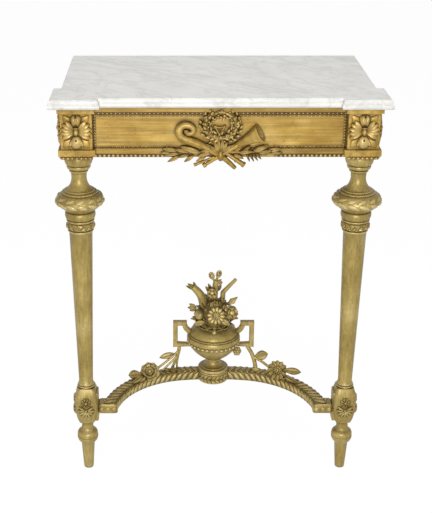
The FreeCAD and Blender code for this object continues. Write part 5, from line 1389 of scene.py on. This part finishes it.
def pipes():
    """Two pipe ends below the wreath, the knot that ties them, and leaves that stand up out of
    it."""
    tips = [(-20, -34, 14), (-11, -25, 15), (-3, -19, 14), (6, -20, 14), (15, -25, 15),
            (24, -33, 14)]
    # The knot carries a share of dirt and painted shade.
    return join(spun((-10, -60, 8), (-52, -77, 8), PIPE * (1, 3.0), 2, 16),
                spun((14, -52, 8), (51, -77, 9), PIPE * (1, 4.8), 2, 16),
                bar([(2, -44, 9), (2, -53, 11), (2, -60, 11), (2, -66, 9)], [3.4, 6.4, 6.8, 4.4],
                    14, (0.3, 0.0)),
                sprig([(0, -52, 12)] * 3 + [(4, -52, 12)] * 3, tips, 9, UP, 4.4, belly=0.55,
                      sink=4))


on_panel("trophy_pipes", "pipes", pipes())

# %% [markdown]
# ### Laurel sprays
# The sprays are not regular: broad leaves lie near the wreath, narrow ones hang below the rail like
# fingers, and the last ones run out along its lower edge. So each leaf is written down by its two
# ends, its width and how far its tip stands off the panel.

# %% Sprays
LEFT_LEAVES = [(-36, -52, -82, -36, 13, 5), (-56, -50, -92, -42, 10, 4),
               (-84, -47, -119, -41, 10, 2), (-82, -52, -113, -55, 9, 2),
               (-80, -57, -107, -69, 9, 5), (-52, -56, -73, -69, 9, 6), (-26, -56, -49, -68, 9, 7),
               (-16, -48, -46, -57, 10, 7), (-14, -44, -40, -46, 9, 8), (-96, -50, -122, -50, 8, 2),
               (-62, -54, -86, -60, 8, 4), (-12, -42, -30, -30, 8, 6)]
RIGHT_LEAVES = [(14, -46, 34, -30, 9, 7), (28, -50, 47, -33, 9, 6), (48, -50, 63, -32, 9, 6),
                (66, -49, 101, -33, 12, 6), (96, -47, 128, -42, 10, 2), (88, -52, 117, -56, 9, 2),
                (78, -50, 108, -46, 9, 4), (38, -50, 70, -46, 10, 7), (54, -50, 62, -69, 5.5, 6),
                (60, -50, 71, -69, 5.5, 6), (66, -50, 79, -67, 5.5, 6), (72, -50, 86, -64, 5.5, 5),
                (28, -54, 50, -62, 9, 6), (104, -50, 130, -51, 8, 2)]
SPRAY_LEVEL = 8.0


def spray(leaves, reach):
    """Stem along the frieze's lower edge, and its leaves."""
    stem = curve([(0, -48, 8), (reach * 0.4, -50, 9), (reach * 0.75, -49, 8), (reach, -47, 7)])
    forms = [sprig([(x, y, SPRAY_LEVEL)], [(tip_x, tip_y, SPRAY_LEVEL + lift)], width, UP, 4.6,
                   belly=0.42, sink=3) for x, y, tip_x, tip_y, width, lift in leaves]
    return join(bar(stem, [3.4, 2.6, 1.6], 8), *forms)


on_panel("trophy_left_spray", "left_spray", spray(LEFT_LEAVES, reach=-96))
on_panel("trophy_right_spray", "right_spray", spray(RIGHT_LEAVES, reach=104))

# %% [markdown]
# ## Studio
# The table stands on a plain white sweep in soft light: a wide lamp in front, a little to the left
# and no higher than the table, a second one overhead for the marble, and a dim sky. The floor and
# the sky are white to the eye and in reflections, so that no lamp has to burn the background out.
# The camera stands where the photographer stood, a little left of the middle, looking down.

# %% Floor
FLOOR_HALF, FLOOR_SHARE, FLOOR_GLOW = 6, 0.9, 1.07


def seen_directly(tree):
    """One where a ray comes from the eye, a mirror or a glass, and nought where it only carries
    light."""
    eye, mirror, glass = (add_node(tree, "LightPath", give=f"Is {kind} Ray")
                          for kind in ("Camera", "Glossy", "Transmission"))
    shiny = add_node(tree, "Math", {"operation": "MAXIMUM"}, _0=mirror, _1=glass)
    return add_node(tree, "Math", {"operation": "MAXIMUM"}, _0=eye, _1=shiny)


def studio_floor():
    """Wide square at the floor's level: mostly its own white to the eye, with the soft shadow of
    the table."""
    mesh = bpy.data.meshes.new("studio_floor")
    corners = [(x * FLOOR_HALF, y * FLOOR_HALF, 0) for x, y in ((-1, -1), (1, -1), (1, 1), (-1, 1))]
    mesh.from_pydata(corners, [], [(0, 1, 2, 3)])
    material, tree, shader = new_material("white_paper_sweep",
                                          {"Base Color": linear("D8D8D8"), "Roughness": 0.9})
    share = add_node(tree, "Math", {"operation": "MULTIPLY", 1: FLOOR_SHARE},
                     _0=seen_directly(tree))
    white = add_node(tree, "Emission", {"Color": (1, 1, 1, 1), "Strength": FLOOR_GLOW})
    both = add_node(tree, "MixShader", _0=share, _1=shader.outputs["BSDF"], _2=white)
    tree.links.new(both, tree.nodes["Material Output"].inputs["Surface"])
    mesh.materials.append(material)
    floor = bpy.data.objects.new("studio_floor", mesh)
    bpy.context.scene.collection.objects.link(floor)


studio_floor()

# %% Lamps and sky
LAMP_TARGET, SKY_LIGHT = (0, 0, 0.5), 0.2


def lamp(name, place, size, watts):
    """Square area lamp that looks at the middle of the table."""
    light = bpy.data.lights.new(name, "AREA")
    light.size, light.energy = size, watts
    away = unit(np.subtract(place, LAMP_TARGET))
    side = unit(np.cross((0.01, 1, 0.2), away))
    thing = bpy.data.objects.new(name, light)
    thing.location = place
    turn = mathutils.Matrix(np.stack([side, np.cross(away, side), away], axis=-1))
    thing.rotation_euler = turn.to_euler()
    bpy.context.scene.collection.objects.link(thing)


def sky():
    """Even world: white where it is seen directly, and a dim light otherwise."""
    world = bpy.data.worlds.new("studio_sky")
    bpy.context.scene.world = world
    world.use_nodes = True
    tree = world.node_tree
    tree.nodes["Background"].inputs["Color"].default_value = (1, 1, 1, 1)
    level = add_node(tree, "MapRange", {"To Min": SKY_LIGHT, "To Max": 1.0},
                     Value=seen_directly(tree))
    tree.links.new(level, tree.nodes["Background"].inputs["Strength"])


lamp("front_lamp", place=(-0.15, -3.0, 1.05), size=0.8, watts=57)
lamp("overhead_lamp", place=(0.0, -0.3, 2.5), size=1.8, watts=22)
sky()
print([light.name for light in bpy.data.lights])

# %% Camera
FOCAL_PIXELS, IMAGE_WIDTH, IMAGE_HEIGHT, PRINCIPAL_X, SENSOR_MM = 1118.7, 432, 513, 175.0, 36.0
CAMERA_PLACE, CAMERA_DOWN, CAMERA_TURN = (-0.0954, -2.3569, 1.4478), 22.69, -0.12
camera_data = bpy.data.cameras.new("photo_camera")
camera_data.sensor_width = SENSOR_MM
camera_data.lens = FOCAL_PIXELS * SENSOR_MM / IMAGE_HEIGHT
camera_data.shift_x = (IMAGE_WIDTH / 2 - PRINCIPAL_X) / IMAGE_HEIGHT
camera = bpy.data.objects.new("photo_camera", camera_data)
camera.location = CAMERA_PLACE
camera.rotation_euler = (math.radians(90 - CAMERA_DOWN), 0, math.radians(CAMERA_TURN))
bpy.context.scene.collection.objects.link(camera)
bpy.context.scene.camera = camera
bpy.context.scene.view_settings.view_transform = "Standard"
